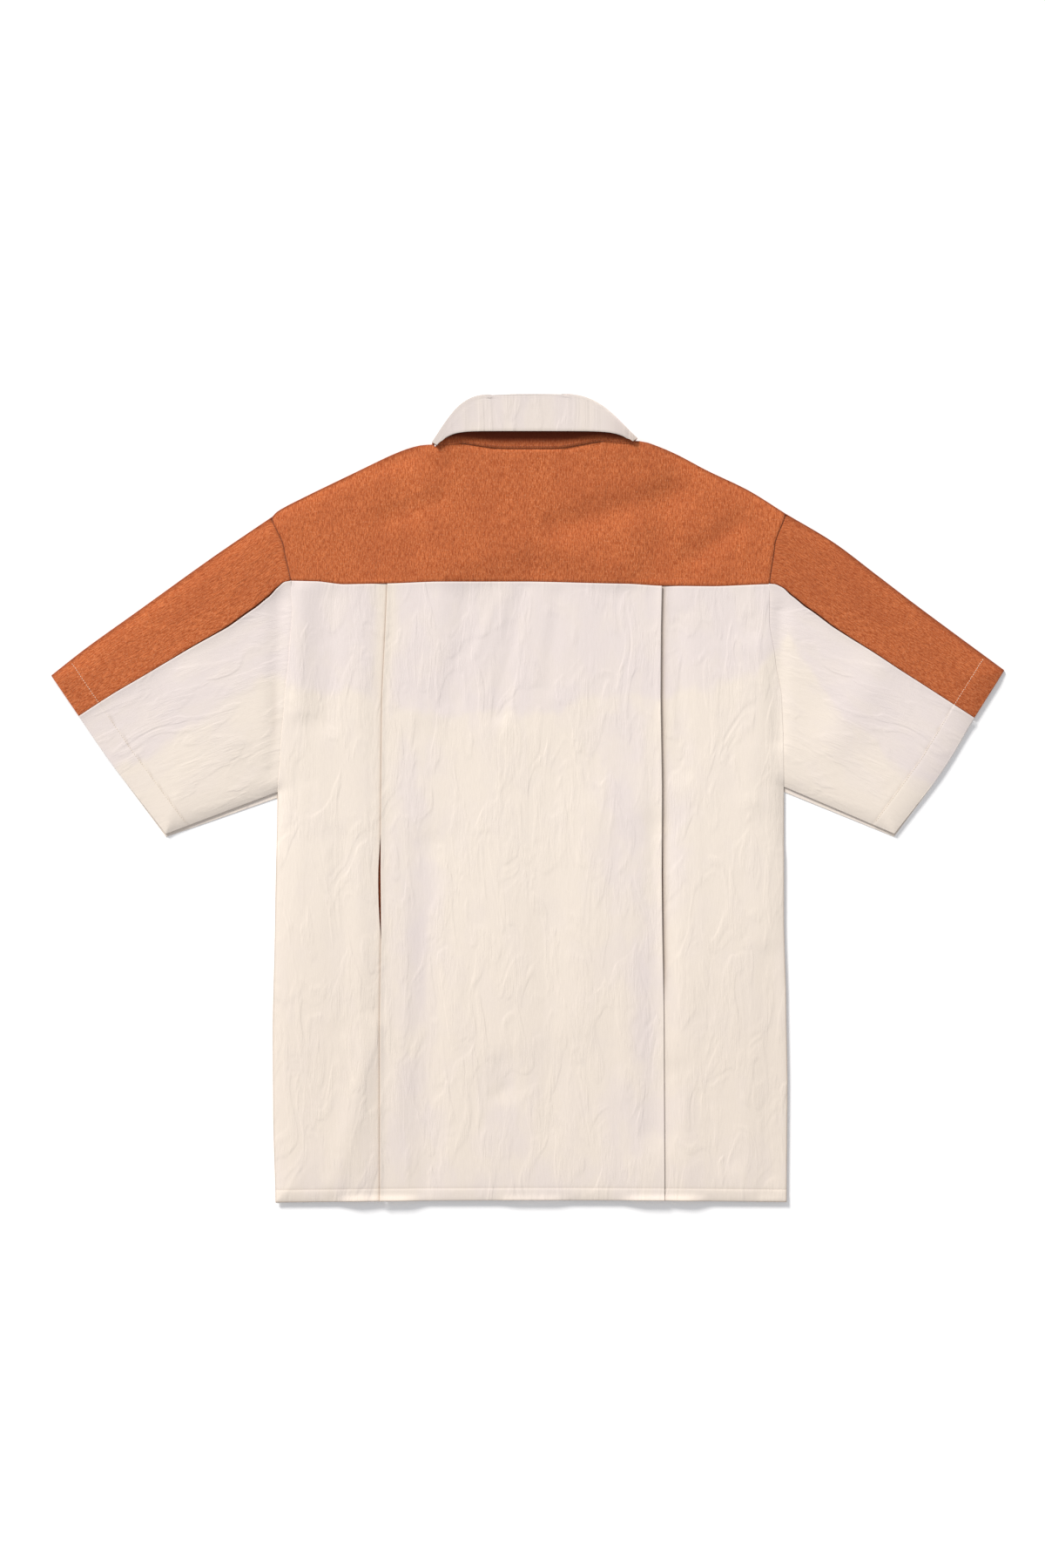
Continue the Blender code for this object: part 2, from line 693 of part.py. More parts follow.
def band_share(side, along):
    return read([(point.along, getattr(point, side)) for point in BAND_SEAM], along)


def oriented(side, grid):
    """Columns in the order that faces the outside up."""
    return grid if side == "right" else grid[::-1]


def make_sleeve(side, rust, cream):
    at, under = sleeve_patch(side, "back"), sleeve_patch(side, "front")
    band, back, front = [], [], []
    low, high = at(0.0, band_share(side, 0.0))[1], at(0.0, 0.0)[1]
    for i in range(SLEEVE_COLUMNS + 1):
        along = (i / SLEEVE_COLUMNS) ** SLEEVE_BIAS
        share = band_share(side, along)
        seam, fold = at(along, share), at(along, 0.0)
        band.append(bowed(side, 1 - along, over_fold(seam, fold, None), BAND_ROWS, low, high))
        points = [at(along, lerp(1.0, share, j / SLEEVE_ROWS)) for j in range(SLEEVE_ROWS + 1)]
        back.append([Vector((*point, upper(*point))) for point in points])
        points = [under(along, lerp(share, 1.0, j / SLEEVE_ROWS)) for j in range(SLEEVE_ROWS + 1)]
        front.append([Vector((*point, lower(*point))) for point in points])
    wall(f"sleeve_band_{side}", oriented(side, band), rust)
    wall(f"sleeve_back_{side}", oriented(side, back), cream)
    flipped = "left" if side == "right" else "right"
    wall(f"sleeve_front_{side}", oriented(flipped, front), cream)


# ---- Collar ----

def bezier(points, share):
    while len(points) > 1:
        points = [lerp(a, b, share) for a, b in zip(points, points[1:])]
    return points[0]


def less(place, direction, length):
    """The place moved back along a direction."""
    return tuple(p - d * length for p, d in zip(place, direction))


def collar_side(side, part):
    """The leaf's fold at the neck's side, from the roll (0) to the tip (1): where its cloth starts
    to turn, and the way it turns out."""
    collar = COLLAR[side]
    line = ((collar.roll_x, collar.roll_y), collar.bulge_1, collar.bulge_2, (collar.tip_x, collar.tip_y))
    across, up = lerp(TURN_AT_ROLL, TURN_AT_TIP, ease(part / TURN_SHARE))
    way = (SIGN[side] * across, up)
    return less(bezier(line, part), way, LEAF_RUN + COLLAR_HALF), way


def collar_section(side, where, share, turn):
    """Points from the neck seam over the roll to the leaf's edge.

    share goes from the centre back or front (0) to the neck's side (1), and turn from 0 on the
    back's side of the fold there to pi on the front's.
    """
    collar, sign = COLLAR[side], SIGN[side]
    roll_side, tip = collar_side(side, 0.0)[0], collar_side(side, 1.0)[0]
    if where == "back":
        seam = neck_seam(side, share)
        roll = (roll_side[0] * share, lerp(COLLAR_TOP_Y - COLLAR_HALF, roll_side[1], share ** 2))
        edge = (tip[0] * share, lerp(LEAF_EDGE_Y, tip[1], share ** LEAF_DROP_POWER))
        weight = share ** 3
    else:
        parting = CENTRE_X + sign * COLLAR_PARTING
        neck = (collar.seam_x - sign * WALL, NECK_BEND_Y)
        seam = lerp(lerp((parting, NECK_FRONT_Y + GAP), neck, ease(share) ** 0.8),
                    (collar.seam_x, collar.seam_y), share ** 5)
        roll = lerp((parting, FRONT_ROLL_Y), roll_side, share)
        edge = lerp((collar.point_x, collar.point_y), tip, share)
        weight = share ** 2
    on_back = (1 + math.cos(turn)) / 2
    levels = Level(*lerp(COLLAR_FRONT, COLLAR_BACK, on_back))
    seam_level = lerp(COLLAR_FRONT.stand, upper(*neck_seam(side, share)), on_back)
    radius = (levels.leaf - levels.stand) / 2
    stand_end = lerp(roll, seam, min(ROLL_REACH, abs(radius) / math.dist(seam, roll)))
    leaf_start = lerp(roll, edge, min(ROLL_REACH, abs(radius) / math.dist(edge, roll)))
    section = []  # place, height, and how far the cloth bends outward at the neck's side
    for k in range(STAND_STEPS):
        part = k / STAND_STEPS
        section.append((lerp(seam, stand_end, part), lerp(seam_level, levels.stand, part),
                        lerp(STAND_RUN, ROLL_RUN, part)))
    for k in range(ROLL_STEPS + 1):
        part = k / ROLL_STEPS
        place = lerp(lerp(stand_end, leaf_start, part), roll, math.sin(math.pi * part))
        height = levels.stand + radius * (1 - math.cos(math.pi * part))
        section.append((place, height, lerp(ROLL_RUN, LEAF_RUN, part)))
    for k in range(1, LEAF_STEPS + 1):
        part = k / LEAF_STEPS
        place = less(lerp(leaf_start, edge, part), lerp(roll_side, tip, part), weight)
        place = tuple(p + weight * b for p, b in zip(place, collar_side(side, part)[0]))
        section.append((place, lerp(levels.leaf, levels.edge, part), LEAF_RUN))
    points = []
    for k, (place, height, run) in enumerate(section):
        way = collar_side(side, max(0.0, (k - STAND_STEPS - ROLL_STEPS) / LEAF_STEPS))[1]
        points.append(Vector((*less(place, way, -run * math.sin(turn)), height)))
    return points


def collar_grid():
    """Sections from the centre front round the neck's left, the back and the right."""
    halves = {}
    for side in SIGN:
        half = [collar_section(side, "back", k / COLLAR_BACK_STEPS, 0.0) for k in range(COLLAR_BACK_STEPS)]
        for k in range(COLLAR_SIDE_STEPS + 1):
            half.append(collar_section(side, "back", 1.0, math.pi * k / COLLAR_SIDE_STEPS))
        for k in range(1, COLLAR_FRONT_STEPS + 1):
            half.append(collar_section(side, "front", 1 - k / COLLAR_FRONT_STEPS, math.pi))
        halves[side] = half
    return halves["left"][:0:-1] + halves["right"]


def make_collar(rust, cream):
    grid = collar_grid()
    wall("collar_under", grid, rust, outer=COLLAR_HALF, inner=PLY_GAP / 2)
    wall("collar_upper", grid, cream, outer=-PLY_GAP / 2, inner=-COLLAR_HALF)


# ---- Buttons ----

def make_button(number, y, finish):
    """A turned button, its dished face on the ground."""
    profile = (
        (BUTTON_RADIUS * 0.62, BUTTON_DISH), (BUTTON_RADIUS * 0.76, 0.0), (BUTTON_RADIUS * 0.92, 0.0),
        (BUTTON_RADIUS, BUTTON_HEIGHT * 0.4), (BUTTON_RADIUS * 0.9, BUTTON_HEIGHT),
    )
    points = [(CENTRE_X + r * math.cos(math.tau * k / BUTTON_SIDES),
               y + r * math.sin(math.tau * k / BUTTON_SIDES), z)
              for r, z in profile for k in range(BUTTON_SIDES)]
    faces = [list(range(BUTTON_SIDES))[::-1]]
    for ring in range(len(profile) - 1):
        for k in range(BUTTON_SIDES):
            a, b = ring * BUTTON_SIDES + k, ring * BUTTON_SIDES + (k + 1) % BUTTON_SIDES
            faces.append([a, b, b + BUTTON_SIDES, a + BUTTON_SIDES])
    faces.append([len(points) - BUTTON_SIDES + k for k in range(BUTTON_SIDES)])
    solid(f"button_{number}", points, faces, finish)


for old in list(bpy.data.objects):
    bpy.data.objects.remove(old)

rust_cloth = material("rust_cloth", RUST)
cream_cloth = material("cream_cloth", CREAM)
horn = material("button_horn", HORN)

make_yoke(rust_cloth)
make_back_centre(cream_cloth)
for shirt_side in SIGN:
    make_back_side(shirt_side, cream_cloth)
    make_pleat_insert(shirt_side, rust_cloth)
    make_front(shirt_side, cream_cloth)
    make_sleeve(shirt_side, rust_cloth, cream_cloth)
make_collar(rust_cloth, cream_cloth)
for count, button_y in enumerate(BUTTON_Y, start=1):
    make_button(count, button_y, horn)
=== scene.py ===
"""Bowling shirt laid flat on its front: rust yoke, sleeve bands and undercollar, cream body, two
pleats in the back.

The ground is z = 0, the neck points along +Y. Sizes are in millimetres until a mesh is made.
"""

import math
from collections import namedtuple

import bpy
import numpy as np
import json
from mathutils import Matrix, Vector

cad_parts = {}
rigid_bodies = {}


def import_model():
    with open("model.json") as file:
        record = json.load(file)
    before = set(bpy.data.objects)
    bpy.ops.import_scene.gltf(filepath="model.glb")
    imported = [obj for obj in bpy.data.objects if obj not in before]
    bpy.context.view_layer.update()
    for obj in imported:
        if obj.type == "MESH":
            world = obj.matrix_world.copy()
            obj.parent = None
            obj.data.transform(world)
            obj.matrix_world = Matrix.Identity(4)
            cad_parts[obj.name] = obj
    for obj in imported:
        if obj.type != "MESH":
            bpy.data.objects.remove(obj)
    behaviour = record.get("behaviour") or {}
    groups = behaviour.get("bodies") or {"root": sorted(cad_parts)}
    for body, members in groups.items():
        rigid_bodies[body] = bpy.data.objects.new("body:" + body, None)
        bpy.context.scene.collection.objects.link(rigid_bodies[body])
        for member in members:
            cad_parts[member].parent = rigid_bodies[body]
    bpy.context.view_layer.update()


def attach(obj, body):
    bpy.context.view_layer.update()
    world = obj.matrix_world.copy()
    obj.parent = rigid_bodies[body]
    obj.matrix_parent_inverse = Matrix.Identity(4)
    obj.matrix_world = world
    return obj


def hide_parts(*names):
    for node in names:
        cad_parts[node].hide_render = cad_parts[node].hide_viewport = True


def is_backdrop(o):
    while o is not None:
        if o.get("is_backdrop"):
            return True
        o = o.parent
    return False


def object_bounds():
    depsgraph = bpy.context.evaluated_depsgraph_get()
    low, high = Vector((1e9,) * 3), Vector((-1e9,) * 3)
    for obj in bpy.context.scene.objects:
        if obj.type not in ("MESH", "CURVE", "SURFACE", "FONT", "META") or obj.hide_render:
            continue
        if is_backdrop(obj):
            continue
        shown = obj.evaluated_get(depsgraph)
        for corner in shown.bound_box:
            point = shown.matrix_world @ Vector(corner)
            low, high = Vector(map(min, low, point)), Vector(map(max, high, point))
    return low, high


for start_up in list(bpy.data.objects):
    bpy.data.objects.remove(start_up)
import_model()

# ---------------------------------------------------------------- Studio
# The shirt lies on a white table under a wide soft light beyond its neck and a little to its
# left, with a pale sky all round that fills the shadows. The camera hangs straight above it.

MM = 0.001
VIEW_X, VIEW_Y = -6.2, 15.0  # middle of the frame
VIEW_TALL = 1584.0
CAMERA_UP = 4400.0
LENS = 100.0
TABLE_WIDE = 24.0  # metres
TABLE_GLOW, SKY_GLOW, KEY_STRENGTH = 0.105, 0.53, 3.95
KEY_TILT, KEY_HEADING, KEY_SOFT = 62.0, 212.0, 18.0  # degrees



def new_finish(name, **values):
    """A material with these settings of its shader: itself, its node tree and its shader."""
    made = bpy.data.materials.new(name)
    made.use_nodes = True
    shader = made.node_tree.nodes["Principled BSDF"]
    for key, value in values.items():
        shader.inputs[key.replace("_", " ")].default_value = value
    return made, made.node_tree, shader


camera_data = bpy.data.cameras.new("camera")
camera_data.sensor_fit = "VERTICAL"
camera_data.sensor_height = VIEW_TALL * LENS / CAMERA_UP
camera_data.lens = LENS
camera_data.clip_end = 50.0
camera = bpy.data.objects.new("camera", camera_data)
camera.location = (VIEW_X * MM, VIEW_Y * MM, CAMERA_UP * MM)
bpy.context.scene.collection.objects.link(camera)
bpy.context.scene.camera = camera
bpy.context.scene.view_settings.view_transform = "Standard"

bpy.ops.object.select_all(action="DESELECT")
bpy.ops.mesh.primitive_plane_add(size=TABLE_WIDE, location=(0.0, 0.0, 0.0))
table = bpy.context.object
table.name = "table"
table.data.materials.append(new_finish(
    "table_white", Base_Color=(0.94, 0.93, 0.92, 1.0), Roughness=0.9, Specular_IOR_Level=0.0,
    Emission_Color=(1.0, 0.98, 0.96, 1.0), Emission_Strength=TABLE_GLOW)[0])
table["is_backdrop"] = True

key = bpy.data.lights.new("key", "SUN")
key.energy = KEY_STRENGTH
key.angle = math.radians(KEY_SOFT)
key.color = (1.0, 0.985, 0.965)
key_lamp = bpy.data.objects.new("key", key)
key_lamp.rotation_euler = (math.radians(KEY_TILT), 0.0, math.radians(KEY_HEADING))
key_lamp.location = (-2.0, 3.0, 3.0)
bpy.context.scene.collection.objects.link(key_lamp)
sky = bpy.data.worlds.new("studio_sky")
sky.use_nodes = True
sky.node_tree.nodes["Background"].inputs["Color"].default_value = (0.93, 0.95, 1.0, 1.0)
sky.node_tree.nodes["Background"].inputs["Strength"].default_value = SKY_GLOW
bpy.context.scene.world = sky


# ---------------------------------------------------------------- Cream fronts
# Two fronts of cream crepe lie face down on the table, buttoned left over right. Each is one
# piece with a turned placket edge and a turned hem, sewn to the yoke along the upper edge.

WALL = 1.0
GAP = 0.3
STACK = WALL + GAP
ON_GROUND = WALL / 2
SEAM_DRAW = 0.02  # how far a shell's edge is drawn back from its seam
ROUNDING = 0.25  # how far its faces stop short of its rounded edge
SHARP_EDGE = 70.0  # degrees
FINE = 3.0  # distance between mesh rows
COARSE = 5.0
SIGN = {"left": -1, "right": 1}

Edge = namedtuple("Edge", "left_x left_y right_x right_y")
BODY_EDGE = [Edge(*row) for row in (  # side seams from the hem up, then the armholes
    (-255.6, -407.5, 260.5, -407), (-258, -320, 261.4, -284), (-258.5, -231, 260, -200),
    (-256.1, -126, 257.8, -126), (-253.8, 0, 257.8, 7), (-250.5, 50, 257.4, 59),
    (-246.2, 103, 255.6, 103), (-241.8, 146, 249, 140), (-238.4, 190, 243, 178),
    (-240.4, 220, 243.2, 216.5), (-246.9, 253, 248.6, 257), (-259.6, 284.5, 259.6, 288),
)]
SLEEVE_TOP = [Edge(*row) for row in (  # the fold, from the shoulder out
    (-259.6, 284.5, 259.6, 288), (-320.5, 243, 308, 259), (-395, 189.5, 353, 225),
    (-446, 153, 399, 190), (-482.3, 124.6, 480.5, 129.9),
)]
CUFF = [Edge(*row) for row in (  # from the fold down
    (-482.3, 124.6, 480.5, 129.9), (-454.2, 83.4, 450, 81.6), (-419.5, 33.4, 416.4, 26.2),
    (-366.4, -38.5, 369.3, -38.3),
)]
SHOULDER = [Edge(*row) for row in (  # the fold, from the neck out
    (-95, 357.6, 106, 361.2), (-112, 356.2, 119.6, 359.6), (-135.5, 348.4, 147.8, 348.6),
    (-171.6, 331.3, 180.4, 331.5), (-244.6, 295.6, 222, 311.5), (-259.6, 284.5, 259.6, 288),
)]
YOKE_SEAM = (  # from the left armhole to the right one
    (-240.4, 220.0), (-214.0, 219.4), (-187.4, 216.4), (-142.6, 217.2), (-94.2, 219.0), (0.0, 219.1),
    (99.4, 216.9), (134.6, 214.8), (187.4, 214.4), (243.2, 216.5),
)
YOKE_ON_FRONT = 42.0  # how far the yoke reaches down the front
UNDERARM_Y = {"left": {"back": 7.0, "front": 0.9}, "right": {"back": 12.3, "front": 7.0}}
CUFF_FOOT_RISE = 3.0
HEM_SAG = 2.0
CENTRE_X = 4.0
OVERLAP = 15.0  # of the fronts, either side of the centre
NECK_FRONT_Y = 272.0
FRONT_WIDE, FRONT_TALL = 265.0, 720.0
PLACKET_LIFT, PLACKET_HALF, PLACKET_RUN = 2.7, 17.0, 24.0
PLACKET_FOOT = (-330.0, -275.0)
OVERLAP_REACH, OVERLAP_RUN = 24.0, 22.0
Collar = namedtuple("Collar", "seam roll tip bulge_1 bulge_2 point")
COLLAR = {
    "left": Collar((-93.0, 359.6), (-43.0, 407.4), (-98.0, 359.6), (-70.0, 406.6), (-80.0, 386.5),
                   (-74.0, 250.0)),
    "right": Collar((104.5, 361.0), (38.7, 408.2), (110.4, 363.4), (76.0, 406.0), (86.0, 385.5),
                    (84.0, 252.0)),
}
PLY_GAP = 0.6  # between the collar's plies
COLLAR_HALF = WALL + PLY_GAP / 2
COLLAR_LIFT = 2 * COLLAR_HALF + GAP
COLLAR_LIFT_RUN = 36.0
COLLAR_CLEAR = 9.0
TIP_MARGIN, POINT_MARGIN = 3, 4


def lerp(a, b, share):
    """From a to b, for numbers, arrays and points."""
    if isinstance(a, tuple):
        return tuple(p + (q - p) * share for p, q in zip(a, b))
    return a + (b - a) * share


def ease(value):
    """0 up to 1, flat at both ends."""
    value = np.clip(value, 0.0, 1.0)
    return value * value * (3.0 - 2.0 * value)


def side_points(rows, side):
    """One side's points of a table with both sides in it."""
    column = 0 if side == "left" else 2
    return [(row[column], row[column + 1]) for row in rows]


def read(rows, at):
    """The second column where the first one is at, easing from each row to the next."""
    keys, values = (np.array(column, float) for column in zip(*sorted(rows)))
    at = np.clip(at, keys[0], keys[-1])
    i = np.clip(np.searchsorted(keys, at) - 1, 0, len(keys) - 2)
    share = (at - keys[i]) / (keys[i + 1] - keys[i])
    return lerp(values[i], values[i + 1], lerp(share, ease(share), 0.5))


def edge_x(side, y):
    """Where the body's edge lies at this height."""
    return read([(row_y, x) for x, row_y in side_points(BODY_EDGE, side)], y)


def seam_y(x):
    """How high the yoke's seam lies across the back."""
    return read(YOKE_SEAM, x)


def through(points):
    """A smooth curve through the points, as a function of the share of its length."""
    nodes = np.array([lerp(points[1], points[0], 2.0), *points, lerp(points[-2], points[-1], 2.0)])
    lengths = np.concatenate([[0.0], np.cumsum([math.dist(a, b) for a, b in zip(points, points[1:])])])

    def at(share):
        along = np.clip(share, 0.0, 1.0) * lengths[-1]
        i = np.clip(np.searchsorted(lengths, along + 1e-9, side="right") - 1, 0, len(points) - 2)
        t = ((along - lengths[i]) / (lengths[i + 1] - lengths[i]))[..., None]
        p, q, r, s = (nodes[i + k] for k in range(4))
        place = 0.5 * (2 * q + (r - p) * t + (2 * p - 5 * q + 4 * r - s) * t ** 2
                       + (3 * q - p - 3 * r + s) * t ** 3)
        return place[..., 0], place[..., 1]

    return lambda share: at(np.asarray(share, float))


def patch(bottom, top, left, right):
    """The plane patch spanned by four edges, for shares across (u) and up (v)."""
    def at(u, v):
        corners = [[bottom(np.float64(0)), bottom(np.float64(1))], [top(np.float64(0)), top(np.float64(1))]]
        b, t, l, r = bottom(u), top(u), left(v), right(v)
        return tuple(
            (1 - v) * b[k] + v * t[k] + (1 - u) * l[k] + u * r[k]
            - (1 - u) * (1 - v) * corners[0][0][k] - u * (1 - v) * corners[0][1][k]
            - (1 - u) * v * corners[1][0][k] - u * v * corners[1][1][k]
            for k in range(2)
        )

    return at


def distance(x, y, x1, y1, x2, y2):
    """How far points lie from a line between two places."""
    dx, dy = x2 - x1, y2 - y1
    share = np.clip(((x - x1) * dx + (y - y1) * dy) / max(dx * dx + dy * dy, 1e-9), 0.0, 1.0)
    return np.hypot(x - x1 - dx * share, y - y1 - dy * share)


def outline_distance(corners, x, y):
    """How far points lie from a closed outline."""
    apart = np.full(np.broadcast(x, y).shape, 1e9)
    for a, b in zip(corners, corners[1:] + corners[:1]):
        apart = np.minimum(apart, distance(x, y, *a, *b))
    return apart


def inside(corners, x, y):
    """Whether points lie inside an outline."""
    found = np.zeros(np.broadcast(x, y).shape, bool)
    for (x1, y1), (x2, y2) in zip(corners, corners[1:] + corners[:1]):
        if y1 != y2:
            crosses = ((y1 > y) != (y2 > y)) & (x < x1 + (y - y1) / (y2 - y1) * (x2 - x1))
            found ^= crosses
    return found


def collar_corners(side):
    """The collar's corners as seen from above, from the roll to its point on the front."""
    collar, sign = COLLAR[side], SIGN[side]
    return [collar.roll, (collar.tip[0] + sign * TIP_MARGIN, collar.tip[1]),
            (collar.point[0] + sign * POINT_MARGIN, collar.point[1] - POINT_MARGIN)]


COLLAR_AREA = collar_corners("left") + [(CENTRE_X, NECK_FRONT_Y)] + collar_corners("right")[::-1]


def lower(x, y):
    """Middle of the front's cloth: on the ground, but over the collar where that lies under it."""
    apart = np.where(inside(COLLAR_AREA, x, y), 0.0, outline_distance(COLLAR_AREA, x, y))
    return ON_GROUND + COLLAR_LIFT * ease(1 - (apart - COLLAR_CLEAR) / COLLAR_LIFT_RUN)


def closer_up(share):
    """Rows come closer together towards the armholes and the neck."""
    return share + 0.35 * np.sin(math.pi * share) / math.pi


def body_edge(side, top):
    """The side seam and the armhole, from the hem up to this height."""
    low = side_points(BODY_EDGE, side)[0][1]

    def at(share):
        y = lerp(low, top, closer_up(share))
        return edge_x(side, y), y

    return at


def hem_y(x):
    """The hem's height, a little higher in the middle of the body."""
    foot = BODY_EDGE[0]
    part = (x - foot.left_x) / (foot.right_x - foot.left_x)
    return lerp(foot.left_y, foot.right_y, part) + HEM_SAG * 4 * part * (1 - part)


def hem(x1, x2):
    """The hem from one x to another."""
    return lambda share: (lerp(x1, x2, share), hem_y(lerp(x1, x2, share)))


def yoke_column(side, share):
    """Shoulder point and seam point of a yoke column, from the neck (0) to the armhole (1)."""
    x = lerp(COLLAR[side].seam[0], (YOKE_SEAM[0] if side == "left" else YOKE_SEAM[-1])[0], share)
    return through(side_points(SHOULDER, side))(share), (x, seam_y(x))


def yoke_on_front(side, share):
    """The yoke's seam on the front."""
    fold, seam = yoke_column(side, share)
    length = np.hypot(fold[0] - seam[0], fold[1] - seam[1])
    return lerp(fold, seam, (YOKE_ON_FRONT + GAP) / length)


def front_top(side):
    """The front's upper edge from the armhole: the yoke's seam and the neckline."""
    end_y = yoke_on_front(side, 1.0)[1]
    points = [(float(edge_x(side, end_y)), float(end_y))]
    for k in range(1, 10):
        x, y = yoke_on_front(side, 1 - k / 9)
        points.append((float(x), float(y)))
    neck_x, neck_y = points[-1]
    for share in (0.06, 0.2, 0.4, 0.7, 1.0):
        points.append((lerp(neck_x, CENTRE_X, share),
                       neck_y - (neck_y - NECK_FRONT_Y) * (1 - (1 - share) ** 3)))
    points.append((CENTRE_X - SIGN[side] * OVERLAP, NECK_FRONT_Y))
    return through(points)


def front_height(side, x, y):
    """Middle of a front's cloth, raised along the placket where the fronts overlap."""
    lift = ease(1 - (np.abs(x - CENTRE_X) - PLACKET_HALF) / PLACKET_RUN)
    lift = lift * ease((y - PLACKET_FOOT[0]) / (PLACKET_FOOT[1] - PLACKET_FOOT[0]))
    over = PLACKET_LIFT * lift
    if side == "right":
        over = over + (STACK + GAP / 2) * ease(1 - (x - CENTRE_X - OVERLAP_REACH) / OVERLAP_RUN)
    return ON_GROUND + over + (lower(x, y) - ON_GROUND) * (1 - lift)


def soft(apart, width):
    """1 on a line, falling off on both sides of it."""
    return np.exp(-((apart / width) ** 2))


def fading(apart, run):
    """1 at an edge, less and less away from it."""
    return np.exp(-apart / run)


def value_noise(x, y, seed):
    """Smooth noise from -1 to 1 on a unit lattice."""
    i, j = np.floor(x).astype(np.int64), np.floor(y).astype(np.int64)

    def corner(a, b):
        mixed = (a * 374761393 + b * 668265263 + seed * 2246822519) & 0xFFFFFFFF
        mixed = ((mixed ^ (mixed >> 13)) * 1274126177) & 0xFFFFFFFF
        return ((mixed ^ (mixed >> 16)) & 0xFFFF) / 32767.5 - 1.0

    u, v = ease(x - i), ease(y - j)
    return lerp(lerp(corner(i, j), corner(i + 1, j), u), lerp(corner(i, j + 1), corner(i + 1, j + 1), u), v)


def rumple(across, along, seed):
    """The cloth's slight unevenness, longer along the thread than across it, in millimetres."""
    bend = 9.0 * value_noise(across / 34.0, along / 60.0, seed + 7)
    fine = value_noise((across + bend) / 6.5, along / 19.0, seed)
    broad = value_noise((across + bend) / 17.0, along / 46.0, seed + 1)
    return 0.035 * fine + 0.085 * broad


def grid_normals(points):
    """The way out of the cloth's outer side at each point of a grid."""
    across, along = np.empty_like(points), np.empty_like(points)
    across[1:-1] = points[2:] - points[:-2]
    across[0], across[-1] = points[1] - points[0], points[-1] - points[-2]
    along[:, 1:-1] = points[:, 2:] - points[:, :-2]
    along[:, 0], along[:, -1] = points[:, 1] - points[:, 0], points[:, -1] - points[:, -2]
    made = np.cross(across, along)
    return made / np.maximum(np.linalg.norm(made, axis=2), 1e-12)[..., None]


def cloth(name, points, finish, thread, outer=0.5, inner=0.3, draw=SEAM_DRAW, has_cell=None,
          **marks):
    """A thin shell over a grid of middle points: a face on either side and a rounded edge.

    thread is the grid's two coordinates along the cloth, for its weave. marks are numbers that
    each point carries for the material.
    """
    columns, rows = points.shape[:2]
    cells = np.ones((columns - 1, rows - 1), bool) if has_cell is None else has_cell
    outward = grid_normals(points)
    framed = np.zeros((columns + 1, rows + 1), bool)
    framed[1:-1, 1:-1] = cells
    used = framed[1:, 1:] | framed[:-1, 1:] | framed[1:, :-1] | framed[:-1, :-1]
    west = framed[:-1, 1:] | framed[:-1, :-1]
    east = framed[1:, 1:] | framed[1:, :-1]
    south = framed[1:, :-1] | framed[:-1, :-1]
    north = framed[1:, 1:] | framed[:-1, 1:]
    inward = np.zeros_like(points)  # from each bare edge into the cloth
    for bare, present, axis, step in ((west, east, 0, 1), (east, west, 0, -1),
                                      (south, north, 1, 1), (north, south, 1, -1)):
        toward = np.roll(points, -step, axis=axis) - points
        toward /= np.maximum(np.linalg.norm(toward, axis=2), 1e-9)[..., None]
        inward += toward * (present & ~bare)[..., None]
    edge = (np.linalg.norm(inward, axis=2) > 0) & used
    middle = points + inward * draw
    thick_out = np.broadcast_to(outer, (columns, rows))[..., None]
    thick_in = np.broadcast_to(inner, (columns, rows))[..., None]
    turn = inward * ROUNDING
    number = np.full((columns, rows), -1)
    number[used] = np.arange(used.sum())
    count = int(used.sum())
    rim = np.full((columns, rows), -1)
    rim[edge] = 2 * count + np.arange(edge.sum())
    verts = np.concatenate([
        (middle + turn + outward * thick_out)[used], (middle + turn - outward * thick_in)[used],
        (middle + outward * (thick_out - thick_in) / 2)[edge],
    ])
    i, j = np.nonzero(cells)
    ring = np.stack([number[i, j], number[i + 1, j], number[i + 1, j + 1], number[i, j + 1]], axis=1)
    faces = [ring, ring[:, ::-1] + count]
    for a, b, beyond in (((0, 0), (1, 0), (1, 0)), ((1, 0), (1, 1), (2, 1)),
                         ((1, 1), (0, 1), (1, 2)), ((0, 1), (0, 0), (0, 1))):
        bare = ~framed[i + beyond[0], j + beyond[1]]
        p, q = (i[bare] + a[0], j[bare] + a[1]), (i[bare] + b[0], j[bare] + b[1])
        faces.append(np.stack([number[q], number[p], rim[p], rim[q]], axis=1))
        faces.append(np.stack([rim[q], rim[p], number[p] + count, number[q] + count], axis=1))
    faces = np.concatenate(faces)
    mesh = bpy.data.meshes.new(name)
    mesh.vertices.add(len(verts))
    mesh.vertices.foreach_set("co", (verts * MM).ravel())
    mesh.loops.add(faces.size)
    mesh.loops.foreach_set("vertex_index", faces.ravel())
    mesh.polygons.add(len(faces))
    mesh.polygons.foreach_set("loop_start", np.arange(0, faces.size, 4))
    mesh.update(calc_edges=True)
    mesh.validate()
    woven = np.stack([np.broadcast_to(value, (columns, rows)) for value in thread], axis=2)
    woven = np.concatenate([woven[used], woven[used], woven[edge]]) * MM
    layer = mesh.uv_layers.new(name="thread")
    layer.data.foreach_set("uv", woven[faces.ravel()].ravel())
    for mark, value in marks.items():
        value = np.broadcast_to(value, (columns, rows))
        attribute = mesh.attributes.new(mark, "FLOAT", "POINT")
        attribute.data.foreach_set("value", np.concatenate([value[used], value[used], value[edge]]))
    mesh.shade_smooth()
    mesh.set_sharp_from_angle(angle=math.radians(SHARP_EDGE))
    mesh.materials.append(finish)
    piece = bpy.data.objects.new(name, mesh)
    bpy.context.scene.collection.objects.link(piece)
    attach(piece, "root")
    return piece


